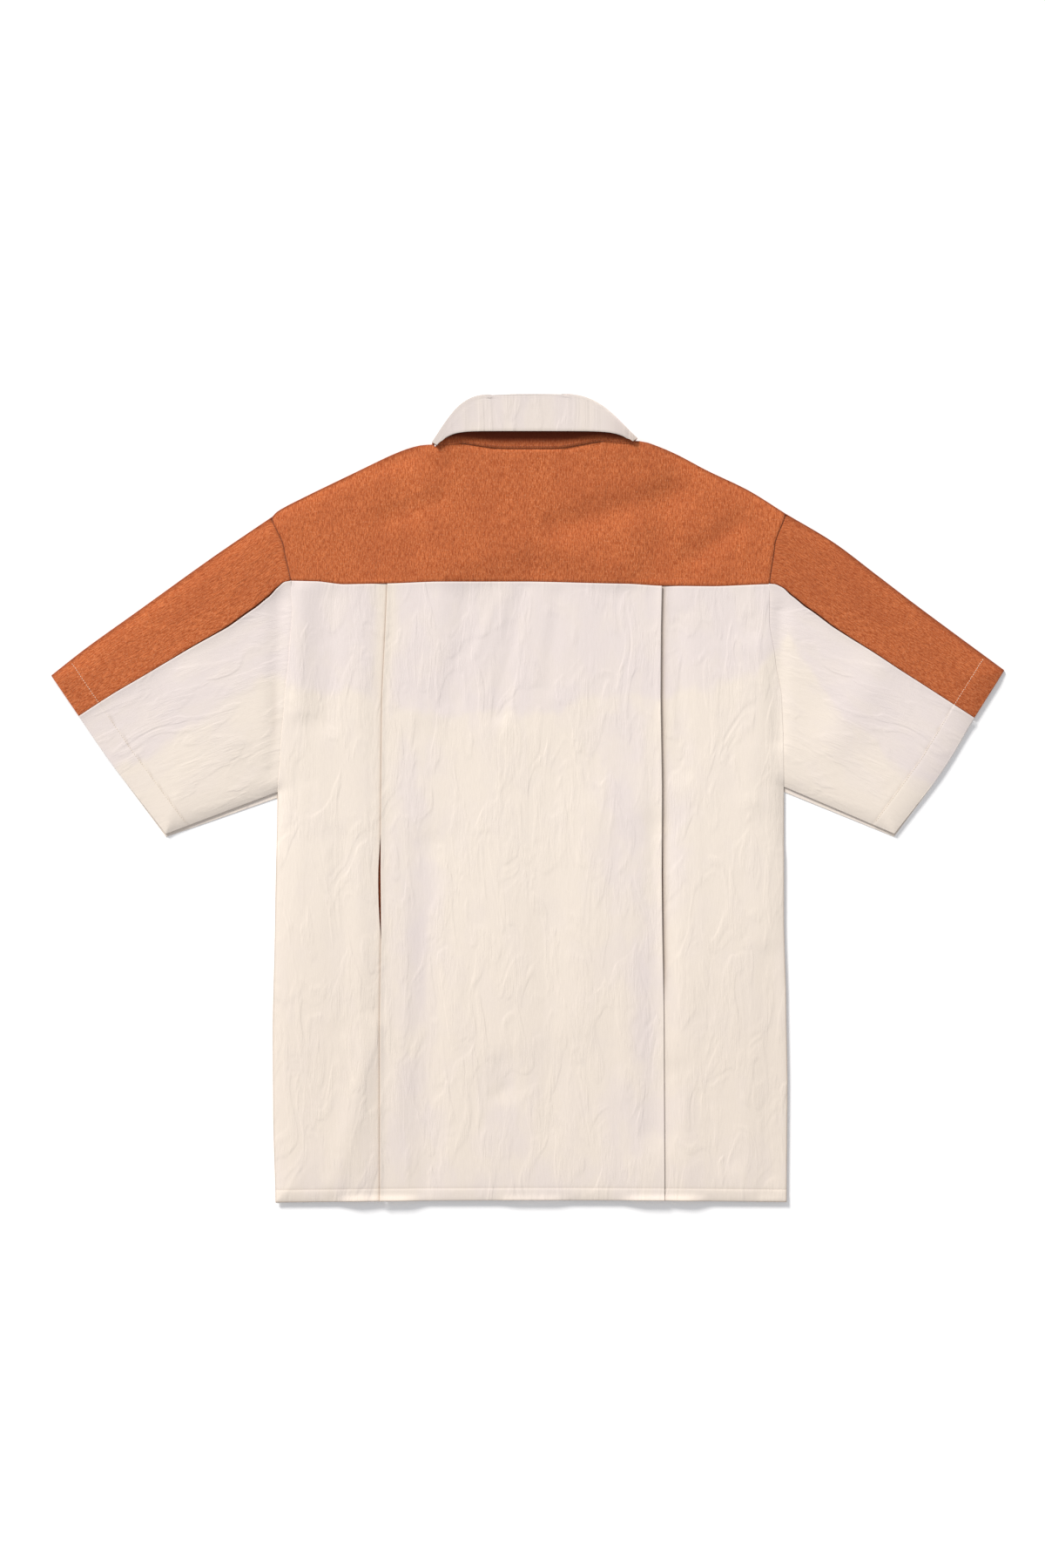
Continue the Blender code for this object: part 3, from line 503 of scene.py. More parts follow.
def steps(length, spacing):
    """Shares from 0 to 1, no further apart than the spacing."""
    return np.linspace(0.0, 1.0, max(2, int(round(length / spacing)) + 1))


def marked_steps(length, spacing, low=(), high=()):
    """Such shares with more of them at these distances from the first end and from the last."""
    marks = np.array([0.0, *(gap / length for gap in low), *(1 - gap / length for gap in high), 1.0])
    plain = steps(length, spacing)
    clear = np.abs(plain[:, None] - marks[None, :]).min(axis=1) > 0.4 * spacing / length
    return np.unique(np.concatenate([marks, plain[clear]]))


def declare(node):
    """Hides the model's part of this name, which a piece stands in for."""
    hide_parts(node)


def shader_group(name, inputs, outputs):
    """An empty node group with its sockets: (name, type) each, and its two end nodes."""
    group = bpy.data.node_groups.new(name, "ShaderNodeTree")
    for in_out, sockets in (("INPUT", inputs), ("OUTPUT", outputs)):
        for socket, kind in sockets:
            group.interface.new_socket(name=socket, in_out=in_out, socket_type=kind)
    return group, group.nodes.new("NodeGroupInput"), group.nodes.new("NodeGroupOutput")


def feed(tree, socket, value):
    """A number or a colour into a socket, or a link from another node."""
    if isinstance(value, (int, float, tuple)):
        socket.default_value = value
    else:
        tree.links.new(value, socket)


def add(tree, kind, **values):
    """A node with its settings, and the values or links of its sockets."""
    made = tree.nodes.new(kind)
    for key, value in values.items():
        if hasattr(made, key):
            setattr(made, key, value)
        else:
            feed(tree, made.inputs[key.replace("_", " ")], value)
    return made


def stretched_noise(tree, vector, across, along, detail, rough, distortion=0.0):
    """Noise whose grains are so many millimetres across the thread and along it."""
    scaled = add(tree, "ShaderNodeMapping", Vector=vector,
                 Scale=(1 / (across * MM), 1 / (along * MM), 1.0))
    noise = add(tree, "ShaderNodeTexNoise", noise_dimensions="2D", Vector=scaled.outputs["Vector"],
                Scale=1.0, Detail=detail, Roughness=rough, Distortion=distortion)
    return noise.outputs["Fac"]


def math_node(tree, operation, *values):
    made = add(tree, "ShaderNodeMath", operation=operation)
    for socket, value in zip(made.inputs, values):
        feed(tree, socket, value)
    return made.outputs[0]


def mix_colour(tree, share, first, second):
    made = add(tree, "ShaderNodeMix", data_type="RGBA", Factor=share, A=first, B=second)
    return made.outputs["Result"]


def map_range(tree, value, low, high, to_low=0.0, to_high=1.0):
    made = add(tree, "ShaderNodeMapRange", interpolation_type="SMOOTHSTEP", Value=value,
               From_Min=low, From_Max=high, To_Min=to_low, To_Max=to_high)
    return made.outputs["Result"]


def carried(tree, mark):
    """A number that each point of the mesh carries."""
    return add(tree, "ShaderNodeAttribute", attribute_name=mark).outputs["Fac"]


# Plain weave: threads over and under each other at a pitch, as a height
weave, weave_in, weave_out = shader_group(
    "plain_weave", [("Thread", "NodeSocketVector"), ("Pitch", "NodeSocketFloat")],
    [("Height", "NodeSocketFloat")])
split = add(weave, "ShaderNodeSeparateXYZ", Vector=weave_in.outputs["Thread"])
turns = []
for axis in "XY":
    threads = math_node(weave, "DIVIDE", split.outputs[axis], weave_in.outputs["Pitch"])
    turns.append(math_node(weave, "MULTIPLY", threads, math.tau))
warp = math_node(weave, "MULTIPLY", math_node(weave, "SINE", turns[0]),
                 math_node(weave, "COSINE", turns[1]))
weft = math_node(weave, "MULTIPLY", math_node(weave, "COSINE", turns[0]),
                 math_node(weave, "SINE", turns[1]))
weave.links.new(math_node(weave, "MAXIMUM", warp, weft), weave_out.inputs["Height"])


def cloth_shader(name, roughness, sheen):
    """A matt cloth finish: the material, its tree, its shader and the thread coordinates."""
    made, tree, shader = new_finish(name, Roughness=roughness, Specular_IOR_Level=0.18,
                                    Sheen_Weight=sheen, Sheen_Roughness=0.5)
    thread = add(tree, "ShaderNodeUVMap", uv_map="thread").outputs["UV"]
    return made, tree, shader, thread


def woven_height(tree, thread, pitch):
    """The plain weave's height, with its threads this many millimetres apart."""
    woven = add(tree, "ShaderNodeGroup", node_tree=weave, Thread=thread, Pitch=pitch * MM)
    return woven.outputs["Height"]


def relief(tree, shader, heights):
    """Bumps under each other, from (height, depth in millimetres) pairs."""
    normal = None
    for height, depth in heights:
        bump = add(tree, "ShaderNodeBump", Height=height, Distance=depth * MM)
        if normal is not None:
            tree.links.new(normal, bump.inputs["Normal"])
        normal = bump.outputs["Normal"]
    tree.links.new(normal, shader.inputs["Normal"])


cream_crepe, tree, shader, thread = cloth_shader("cream_crepe", 0.88, 0.08)
# The cream is mixed from warm to a cooler, darker cream by a mark each point carries: painted shade where
# the mark is high, a painted highlight where it is below 0.
warm, cool = (0.850, 0.748, 0.645, 1.0), (0.795, 0.700, 0.660, 1.0)
tone = carried(tree, "tone")
# Painted shade, carried in the seam mark: dark brown mixed in along seams, stitching, edges, outlines and
# pleats, low down on the back and at the collar's ends.
painted_shade = carried(tree, "seam")
mottle = map_range(tree, stretched_noise(tree, thread, 26.0, 48.0, 2.0, 0.5), 0.35, 0.65, -0.16, 0.16)
shade = math_node(tree, "ADD", tone, mottle)
colour = mix_colour(tree, map_range(tree, shade, -0.1, 1.1), warm, cool)
slub = map_range(tree, stretched_noise(tree, thread, 1.1, 9.0, 3.0, 0.6), 0.38, 0.66)
colour = mix_colour(tree, math_node(tree, "MULTIPLY", slub, 0.10), colour, (0.66, 0.58, 0.50, 1.0))
colour = mix_colour(tree, painted_shade, colour, (0.50, 0.40, 0.32, 1.0))
# Painted shade: dark grey mixed in where the collar's roll faces the key light, and along its outline.
turned = carried(tree, "turned")
colour = mix_colour(tree, turned, colour, (0.24, 0.215, 0.20, 1.0))
tree.links.new(colour, shader.inputs["Base Color"])
cluster = map_range(tree, stretched_noise(tree, thread, 24.0, 60.0, 2.0, 0.5, 0.8), 0.42, 0.62, 0.25, 1.0)
calm = carried(tree, "calm")
cluster = math_node(tree, "MULTIPLY", cluster, map_range(tree, calm, 0.0, 1.0, 1.0, 0.0))
crepe = stretched_noise(tree, thread, 1.5, 11.0, 3.0, 0.62, 0.5)
crepe = math_node(tree, "MULTIPLY", crepe, cluster)
ripple = stretched_noise(tree, thread, 6.0, 34.0, 1.0, 0.5, 0.5)
ripple = math_node(tree, "MULTIPLY", ripple, cluster)
relief(tree, shader, [(ripple, 0.35), (crepe, 0.22), (woven_height(tree, thread, 0.9), 0.03)])

for side, sign in SIGN.items():
    top = front_top(side)
    outer = body_edge(side, float(top(0.0)[1]))
    inner_x = CENTRE_X - sign * OVERLAP
    low = tuple(float(v) for v in hem(inner_x, 0.0)(0.0))
    end = tuple(float(v) for v in top(1.0))
    inner = lambda share, low=low, end=end: lerp(low, end, closer_up(share))
    if side == "left":
        at = patch(hem(outer(0.0)[0], inner_x), top, outer, inner)
    else:
        at = patch(hem(inner_x, outer(0.0)[0]), lambda share, top=top: top(1 - share), inner, outer)
    x, y = at(steps(FRONT_WIDE, COARSE)[:, None], steps(FRONT_TALL, COARSE)[None, :])
    front = np.stack([x, y, front_height(side, x, y)], axis=2)
    piece = cloth(f"front_{side}_cloth", front, cream_crepe, (x, y), outer=0.3, inner=0.5, tone=0.2,
                  seam=0.0)
    declare(f"front_{side}")


# ---------------------------------------------------------------- Rust pleat inserts
# Behind each folded edge of the back's centre panel a strip of the rust cloth is sewn in. It
# lies on the fronts, and a sliver of it shows where a pleat stands open.

Pleat = namedtuple("Pleat", "y left_x right_x")
PLEATS = [Pleat(*row) for row in (
    (-406, -150, 137.3), (-214, -150, 136.4), (-135, -148.8, 135), (-73, -149.4, 134.4),
    (15, -148.7, 134.6), (103, -147.8, 133.2), (173, -144.4, 133.6), (217, -142.6, 134.6),
)]
INSERT_HALF, INSERT_LIFT, INSERT_RUN, INSERT_TALL = 22.0, 3.0, 26.0, 612.0


def pleat_x(side, y):
    """Where the centre panel's folded edge lies at this height of the body."""
    column = 1 if side == "left" else 2
    keys, values = [row.y for row in PLEATS], [row[column] for row in PLEATS]
    inner = np.interp(y, keys, values)
    above = values[-1] + (y - keys[-1]) * (values[-1] - values[-2]) / (keys[-1] - keys[-2])
    return np.where(y > keys[-1], above, inner)


def pleat_line(side, away):
    """The centre panel's edge from the hem up, with what is added to its x by away(y)."""
    def at(share):
        top_y = PLEATS[-1].y
        top_x = pleat_x(side, top_y) + away(top_y)
        low_y = hem(float(pleat_x(side, PLEATS[0].y)), 0.0)(0.0)[1]
        y = lerp(low_y, seam_y(top_x), closer_up(share))
        return pleat_x(side, y) + away(y), y

    return at


rust_canvas, tree, shader, thread = cloth_shader("rust_canvas", 0.86, 0.12)
# Painted shade, carried in the seam mark: dark brown-red mixed in along seams, armholes and fold outlines,
# and as the leaf's shadow on the undercollar.
painted_shade = carried(tree, "seam")
streak = map_range(tree, stretched_noise(tree, thread, 1.2, 6.5, 3.0, 0.65, 0.25), 0.30, 0.70)
speck = map_range(tree, stretched_noise(tree, thread, 0.9, 2.2, 3.0, 0.65), 0.50, 0.74)
pit = map_range(tree, stretched_noise(tree, thread, 1.0, 3.8, 3.0, 0.65, 0.2), 0.52, 0.76)
cloud = map_range(tree, stretched_noise(tree, thread, 26.0, 60.0, 2.0, 0.5), 0.3, 0.7)
colour = mix_colour(tree, streak, (0.385, 0.074, 0.014, 1.0), (0.645, 0.178, 0.056, 1.0))
for share, most, tint in ((speck, 0.6, (0.80, 0.33, 0.16, 1.0)), (pit, 0.5, (0.29, 0.050, 0.013, 1.0)),
                          (cloud, 0.22, (0.370, 0.080, 0.026, 1.0))):
    colour = mix_colour(tree, math_node(tree, "MULTIPLY", share, most), colour, tint)
colour = mix_colour(tree, painted_shade, colour, (0.110, 0.014, 0.002, 1.0))
tree.links.new(colour, shader.inputs["Base Color"])
fibre = stretched_noise(tree, thread, 1.3, 6.0, 2.0, 0.6, 0.3)
ripple = stretched_noise(tree, thread, 7.0, 22.0, 1.0, 0.5, 0.5)
relief(tree, shader, [(ripple, 0.5), (fibre, 0.28), (woven_height(tree, thread, 0.8), 0.04)])

for side in SIGN:
    line = pleat_line(side, lambda y: 0.0)
    u, v = steps(2 * INSERT_HALF, COARSE)[:, None], steps(INSERT_TALL, COARSE)[None, :]
    x, y = line(0.01 + 0.98 * v)
    x, y = np.broadcast_arrays(x + lerp(-INSERT_HALF, INSERT_HALF, u), y)
    strip = np.stack([x, y, lower(x, y) + STACK], axis=2)
    piece = cloth(f"pleat_insert_{side}_cloth", strip, rust_canvas, (x, y), outer=0.4, inner=0.4,
                  seam=0.0)
    declare(f"pleat_insert_{side}")


# ---------------------------------------------------------------- Cream back
# Three panels of cream crepe: a centre panel whose edges are folded under into two full-length
# pleats, and a side panel under either of them. All three end in one narrow stitched hem.

LOFT, LOFT_RUN, CROWN, CROWN_RUN = 3.4, 9.0, 1.6, 70.0
PLEAT_OPEN = {"left": (-146.0, -32.0, 2.4), "right": (-160.0, -20.0, 0.6)}
PLEAT_TUCK, PLEAT_STEP, PLEAT_STEP_RUN = 0.9, 1.5, 15.0
RIGHT_OPEN_Y = -215.0  # the right pleat lies flatter below this
NECK_BULK, NECK_BULK_RUN = 2.6, 30.0
LEFT_SEED, RIGHT_SEED = 11, 13
HEM_TALL, PANEL_TALL = 12.5, 625.0
Fold = namedtuple("Fold", "x1 y1 x2 y2 width height")
FOLDS = [Fold(*row) for row in (  # the broad ones, soft ridges and troughs along a line
    (-229, 210, -231, 90, 10, 1.3), (-201, 200, -203, 80, 14, -1.2), (-252, 200, -257, 30, 9, -1.2),
    (254, 190, 252, 60, 9, -1.3), (152, 180, 156, 30, 14, -1), (226, 150, 228, 0, 17, 1),
    (-103, -50, -104, -385, 17, -1.2), (128, -30, 127, -335, 17, -1.3), (-6, 212, -31, 85, 9, -0.9),
    (29, 205, 20, 112, 8, -0.5), (-88, 200, -104, 90, 16, 0.8), (-62, 196, -76, 100, 10, -0.6),
    (-154, -231, -195, -388, 11, 1), (-188, -40, -186, -230, 12, -0.7), (242, -160, 243, -400, 13, -1),
    (150, -275, 200, -365, 12, -0.9), (-26, -268, -24, -296, 12, -0.8), (60, -20, 52, -220, 30, 0.9),
    (-30, 60, -20, -240, 34, 0.9), (16, -120, 24, -330, 14, -0.5), (-150, 337, -112, 346, 10, -1.3),
    (-141, 284, -90, 301, 12, -1.4), (32, 275, 147, 307, 16, -2.6), (166, 243, 211, 275, 12, -1.9),
    (-340, 121, -300, 60, 22, 1.3), (350, 130, 310, 60, 24, 1.3),
)]
CREASES = [Fold(*row) for row in (  # the small ones
    (-30, 204, -52, 150, 4, 0.35), (-44, 196, -66, 128, 3.5, -0.35), (-20, 176, -48, 112, 4.5, -0.35),
    (-8, 160, -30, 96, 4, 0.3), (-62, 140, -84, 84, 5, 0.35), (-96, 150, -112, 60, 5, -0.3),
    (20, 190, 6, 120, 5, 0.25), (70, 120, 64, 10, 6, -0.3), (112, 60, 118, -60, 5, 0.35),
    (-176, 190, -182, 60, 6, -0.35), (-206, 150, -212, -20, 6, 0.35), (-196, -60, -204, -210, 7, -0.3),
    (-228, 10, -236, -130, 6, 0.3), (-166, -150, -172, -300, 6, 0.3), (-120, -120, -134, -330, 5, 0.3),
    (-70, -30, -84, -200, 7, -0.3), (-20, -290, -34, -300, 6, -0.6), (150, 180, 154, 40, 5, -0.35),
    (186, 150, 196, 20, 7, 0.35), (222, 180, 226, 60, 6, -0.4), (170, -20, 176, -190, 7, 0.3),
    (214, -80, 222, -250, 7, -0.3), (90, -120, 96, -300, 6, 0.35), (150, -240, 158, -380, 7, 0.3),
    (-60, -330, -44, -398, 5, -0.25), (40, -300, 52, -396, 6, 0.25),
)]


def back_cuff(side):
    """The cuff's edge on the back, whose lower end lies a little higher than the front's."""
    points = side_points(CUFF, side)
    return points[:-1] + [(points[-1][0], points[-1][1] + CUFF_FOOT_RISE)]


def back_outline(side):
    """Half the back's outline, from the hem round the sleeve to the neck."""
    body = [point for point in side_points(BODY_EDGE, side) if point[1] < 0]
    underarm = UNDERARM_Y[side]["back"]
    return (body + [(float(edge_x(side, underarm)), underarm)] + back_cuff(side)[::-1]
            + side_points(SLEEVE_TOP, side)[::-1] + side_points(SHOULDER, side)[::-1])


BODY_OUTLINE = back_outline("left") + [(-60.0, 420.0), (60.0, 420.0)] + back_outline("right")[::-1]


def folded(folds, x, y):
    """What a table of folds adds to the height."""
    height = np.zeros(np.broadcast(x, y).shape)
    for fold in folds:
        height += fold.height * soft(distance(x, y, *fold[:4]), fold.width)
    return height


def upper(x, y):
    """Middle of the back's cloth."""
    x, y = np.broadcast_arrays(np.asarray(x, float), np.asarray(y, float))
    apart = outline_distance(BODY_OUTLINE, x, y)
    height = lower(x, y) + STACK
    height = height + LOFT * (1 - fading(apart, LOFT_RUN)) + CROWN * (1 - fading(apart, CROWN_RUN))
    height += folded(FOLDS, x, y) * ease(apart / LOFT_RUN)
    for collar in COLLAR.values():
        from_neck = np.hypot(x - collar.seam[0], y - collar.seam[1])
        height += NECK_BULK * ease(1 - from_neck / NECK_BULK_RUN)
    thick = np.maximum(*(ease((INSERT_HALF + INSERT_RUN - np.abs(x - pleat_x(side, y))) / INSERT_RUN)
                         for side in SIGN))
    bare = 1 - ease(apart / LOFT_RUN)
    over_placket = ease(1 - (np.abs(x - CENTRE_X) - PLACKET_HALF) / OVERLAP_RUN)
    body = INSERT_LIFT * thick * bare + GAP * thick + (STACK + GAP) * over_placket * bare
    return height + np.where(y < YOKE_SEAM[0][1], body, 0.0)


def edge_lift(from_hem, from_side):
    """How far the loose hem and the side seams stand up off the layer below."""
    near_hem = fading(from_hem, 8.0)
    return 1.6 * near_hem + 1.2 * fading(from_side, 6.0) * (1 - near_hem)


def creased(x, y, seed):
    """What the small creases and the cloth's unevenness add, less of it near the outline."""
    apart = outline_distance(BODY_OUTLINE, x, y)
    return (0.6 * folded(CREASES, x, y) + rumple(x, y, seed)) * ease(apart / 12.0)


Patch = namedtuple("Patch", "x y wide tall strength")
COOL_SHADE_SPOTS = [Patch(*row) for row in (  # where painted shade makes the cream cooler and darker: soft ovals
    (98, 0, 30, 150, 0.75), (118, -200, 20, 110, 0.8), (-118, -20, 30, 110, 0.6),
    (-112, -130, 22, 110, 0.9), (-60, 150, 60, 60, 1.15), (20, 170, 60, 50, 1.1),
    (150, -20, 16, 90, 0.5), (-120, -320, 30, 70, 0.7), (110, -330, 44, 60, 0.6),
    (-20, -330, 34, 60, 0.5), (0, -385, 300, 26, 0.45), (-375, 110, 60, 45, 1.1),
    (390, 110, 70, 70, 1.1),
)]
Bound = namedtuple("Bound", "x y")
COOL_ABOVE = [Bound(*row) for row in (  # the lower bound of the painted cool shade across the shirt
    (-470, -10), (-385, 50), (-332, 77), (-270, 118), (-235, 116), (-165, 106), (-138, 84), (-60, 90),
    (-6, 82), (40, 96), (88, 104), (140, 108), (230, 122), (262, 160), (290, 124), (330, 70),
    (470, -40),
)]


def cool_tone(x, y):
    """Painted shade: how much cooler and darker the cream is painted, above the wavy bound and in the
    ovals; by the left pleat less, and a painted highlight right beside it.
    """
    wavy = 9.0 * value_noise(x / 26.0, y / 50.0, 71) + 3.0 * value_noise(x / 8.0, y / 20.0, 72)
    bound = np.interp(x, [key.x for key in COOL_ABOVE], [key.y for key in COOL_ABOVE])
    tone = 0.85 * ease((y - bound - wavy + 9.0) / 18.0)
    for spot in COOL_SHADE_SPOTS:
        tone = np.maximum(tone, spot.strength * np.exp(-((x - spot.x) / spot.wide) ** 2
                                                       - ((y - spot.y) / spot.tall) ** 2))
    beside_pleat = soft(x - pleat_x("left", y), 11.0) * ease((y + 60.0) / 80.0)
    return tone * (1 - 0.9 * beside_pleat) - 0.2 * beside_pleat


def hem_rise(from_edge, tall):
    """The doubled cloth of a turned hem, drawn in a little along its stitching."""
    return 0.2 * ease((tall - from_edge) / 2.0) - 0.12 * soft(from_edge - tall - 0.6, 1.1)


def seam_ridge(apart):
    """A seam whose allowance is turned under this side: a low round ridge along it."""
    return 0.32 * (1 - soft(apart, 0.8)) * fading(apart, 5.0)


def seam_dip(apart):
    """A seam drawn down into the cloth."""
    return -0.75 * soft(apart, 1.3)


HEM_MARKS = (0.8, 1.8, 3.2, 5.0, 7.5, 10.0, 11.4, 12.0, 12.6, 13.2, 14.2, 16.0)
SEAM_MARKS = (0.4, 0.9, 1.5, 2.2, 3.0, 4.2, 6.0)
SIDE_MARKS = (0.6, 1.4, 2.6, 4.2)
LOW_STRETCH, HIGH_STRETCH = 1.35, 0.65  # how closer_up spaces the rows at the hem and at the yoke


def yoke_seam(x1, x2):
    """The yoke's seam from one x to another."""
    return lambda share: (lerp(x1, x2, share), seam_y(lerp(x1, x2, share)))


def panel(side, left, right, width, height, seed, marks):
    """A panel of the back, at the centre or at one side, between its two edges."""
    u = marked_steps(width, FINE, *marks)[:, None]
    v = marked_steps(PANEL_TALL, FINE, [gap / LOW_STRETCH for gap in HEM_MARKS],
                     [gap / HIGH_STRETCH for gap in SEAM_MARKS])[None, :]
    low_x, high_x = ([float(edge(share)[0]) for edge in (left, right)] for share in (0.0, 1.0))
    x, y = patch(hem(*low_x), yoke_seam(*high_x), left, right)(u, v)
    from_side, from_hem = outline_distance(BODY_OUTLINE, x, y), y - hem_y(x)
    z = height(x, y) + creased(x, y, seed)
    z = z + hem_rise(from_hem, HEM_TALL) + seam_ridge(seam_y(x) - y)
    z = z + edge_lift(from_hem, from_side + 40.0 * ease((y + 60.0) / 40.0))
    if side == "centre":
        z = z + 0.55 * soft(x - pleat_x("left", y), 3.0)
        z = z + (0.1 + 0.6 * ease((y + 210.0) / 60.0)) * soft(pleat_x("right", y) - x, 5.0)
    points = np.stack([x, y, z], axis=2)
    # Painted shade, carried in the seam mark: lines along the hem's stitching, the hem's edge and the
    # body's outline, darker towards the bottom, and shadow beside the pleats.
    painted_shade = 0.20 * soft(from_hem - HEM_TALL - 0.6, 0.7) + 0.6 * fading(from_hem, 0.7)
    painted_shade = painted_shade + 0.8 * soft(from_side, 0.9) * ease((10.0 - y) / 10.0)
    painted_shade = painted_shade + (0.09 if side == "centre" else 0.13) * ease((-20.0 - y) / 260.0)
    from_pleat = np.abs(x - pleat_x("right" if side == "right" else "left", y))
    if side == "centre":
        painted_shade = painted_shade + 0.12 * soft(from_pleat, 0.8)
    elif side == "left":
        painted_shade = painted_shade + 0.8 * soft(from_pleat, 1.4) + 0.12 * soft(from_pleat, 4.0)
    else:
        painted_shade = painted_shade + 0.3 * soft(from_pleat, 0.9) + 0.06 * fading(from_pleat, 3.0)
        painted_shade = painted_shade + 0.85 * ease((y - RIGHT_OPEN_Y) / 50.0) * soft(from_pleat, 3.9)
    node = "back_centre" if side == "centre" else f"back_side_{side}"
    piece = cloth(f"{node}_cloth", points, cream_crepe, (x, y), tone=cool_tone(x, y),
                  seam=np.clip(painted_shade, 0.0, 0.8))
    declare(node)


left, right = (pleat_line(side, lambda y: 0.0) for side in SIGN)
panel("centre", left, right, 286.0, upper,
      LEFT_SEED, (SEAM_MARKS, SEAM_MARKS))

for side, sign in SIGN.items():
    low, high, width = PLEAT_OPEN[side]

    def away(y, sign=sign, low=low, high=high, width=width):
        opened = np.sin(math.pi * np.clip((y - low) / (high - low), 0.0, 1.0))
        return sign * ((width + PLEAT_TUCK) * np.abs(opened) ** 0.7 - PLEAT_TUCK)

    def side_height(x, y, sign=sign, side=side):
        apart = np.maximum(0.0, sign * (x - pleat_x(side, y)))
        step = PLEAT_STEP - (0.4 * (1 - ease((y - RIGHT_OPEN_Y) / 50.0)) if side == "right" else 0.0)
        return upper(x, y) - step * soft(apart, PLEAT_STEP_RUN)

    inner = pleat_line(side, away)
    outer = body_edge(side, (YOKE_SEAM[0] if side == "left" else YOKE_SEAM[-1])[1])
    left, right = (outer, inner) if side == "left" else (inner, outer)
    marks = (SIDE_MARKS, SEAM_MARKS) if side == "left" else (SEAM_MARKS, SIDE_MARKS)
    panel(side, left, right, 112.0, side_height,
          LEFT_SEED if side == "left" else RIGHT_SEED, marks)


# ---------------------------------------------------------------- Rust yoke
# One piece of rust canvas from the back's seam over both shoulders to the fronts, with its grain
# up and down the back. The collar is set into its neck.

YOKE_ACROSS = (34, 66, 34)
NECK_BACK_Y, NECK_RISE_FROM, NECK_RISE_TO = 352.9, 22.0, 84.0
TURNS = 10
TO_SEAM = 1.4  # rows come closer to a seam
BOW_POWER = 5


def neck_seam(side, share):
    """The back neck's seam, from the centre back (0) to the shoulder (1)."""
    seam = COLLAR[side].seam
    x = seam[0] * share
    rise = float(ease((abs(x) - NECK_RISE_FROM) / (NECK_RISE_TO - NECK_RISE_FROM)))
    return x, lerp(NECK_BACK_Y, seam[1], rise)


def over_fold(seam, fold, reach, rows, wrap_rows):
    """Points from a seam on the back over a fold and back along the front: as far as the yoke
    reaches there, or under the seam for a sleeve's band."""
    seam, fold = tuple(map(float, seam)), tuple(map(float, fold))
    length = math.dist(seam, fold)
    extreme = lerp(seam, fold, 1 - WALL / 2 / length)
    drop = float(upper(*lerp(seam, fold, 1 - 2.0 / length)) - lower(*fold))
    start = lerp(seam, extreme, 1 - drop / 2 / length)
    top, base = float(upper(*start)), float(lower(*start))
    part = (np.arange(rows) / rows) ** TO_SEAM
    x, y = lerp(seam[0], start[0], part), lerp(seam[1], start[1], part)
    turn = math.pi * np.arange(TURNS + 1) / TURNS
    bend_x, bend_y = (lerp(start[k], extreme[k], np.sin(turn)) for k in range(2))
    end = seam if reach is None else lerp(fold, seam, reach / length)
    part = np.arange(1, wrap_rows + 1) / wrap_rows
    under_x, under_y = lerp(start[0], end[0], part), lerp(start[1], end[1], part)
    return np.concatenate([
        np.stack([x, y, upper(x, y)], axis=1),
        np.stack([bend_x, bend_y, (top + base) / 2 + (top - base) / 2 * np.cos(turn)], axis=1),
        np.stack([under_x, under_y, lower(under_x, under_y)], axis=1),
    ])


def bowed(side, share, column, rows, low, high):
    """A column's first rows, set over so that a piece that is sewn into the armhole between the
    heights low and high follows its curve."""
    back = column[:rows + 1]
    ends = edge_x(side, np.array([low, high], float))
    straight_x = lerp(ends[0], ends[1], (back[:, 1] - low) / (high - low))
    back[:, 0] += (edge_x(side, back[:, 1]) - straight_x) * share ** BOW_POWER
    return column


def first_rows(points, count):
    """1 on a grid's first rows, 0 on the others."""
    chosen = np.zeros(points.shape[:2])
    chosen[:, :count] = 1.0
    return chosen


def from_row(points, row):
    """How far each point lies, seen from above, from its column's point in this row."""
    return np.hypot(points[..., 0] - points[:, row:row + 1, 0], points[..., 1] - points[:, row:row + 1, 1])


def along_rows(points):
    """How far each point lies from its column's first, measured over the cloth."""
    stretch = np.linalg.norm(np.diff(points, axis=1), axis=2)
    return np.concatenate([np.zeros((len(points), 1)), np.cumsum(stretch, axis=1)], axis=1)


def yoke_at(side, share):
    """The yoke's column at a share of the way from the neck to the armhole."""
    high, low = (float(end[1]) for end in yoke_column(side, 1.0))
    fold, seam = yoke_column(side, share)
    column = over_fold(seam, fold, YOKE_ON_FRONT, yoke_rows, wrap_rows)
    return bowed(side, share, column, yoke_rows, low, high)


yoke_rows, wrap_rows = ((48, 14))
left, neck, right = YOKE_ACROSS
columns = []
for k in range(left):
    columns.append(yoke_at("left", 1 - (k / left) ** TO_SEAM))
for k in range(neck + 1):
    across = 2 * k / neck - 1
    side = "left" if across < 0 else "right"
    fold, seam = yoke_column(side, 0.0)
    shoulder = over_fold(seam, fold, YOKE_ON_FRONT, yoke_rows, wrap_rows)
    x, y = neck_seam(side, abs(across))
    foot = (x, float(seam_y(x)))
    edge = lerp((x, y), (shoulder[yoke_rows][0], shoulder[yoke_rows][1]), float(ease(abs(across) ** 6)))
    part = (np.arange(yoke_rows + 1) / yoke_rows) ** TO_SEAM
    x, y = lerp(foot[0], edge[0], part), lerp(foot[1], edge[1], part)
    columns.append(np.concatenate([np.stack([x, y, upper(x, y)], axis=1), shoulder[yoke_rows + 1:]]))
for k in range(1, right + 1):
    columns.append(yoke_at("right", 1 - (1 - k / right) ** TO_SEAM))
yoke = np.stack(columns)
cells = np.ones((len(columns) - 1, yoke.shape[1] - 1), bool)
cells[left:left + neck, yoke_rows:] = False
run = along_rows(yoke)
on_back, on_top = first_rows(yoke, yoke_rows + 1), first_rows(yoke, yoke_rows + TURNS // 2 + 1)
x, y = yoke[..., 0], yoke[..., 1]
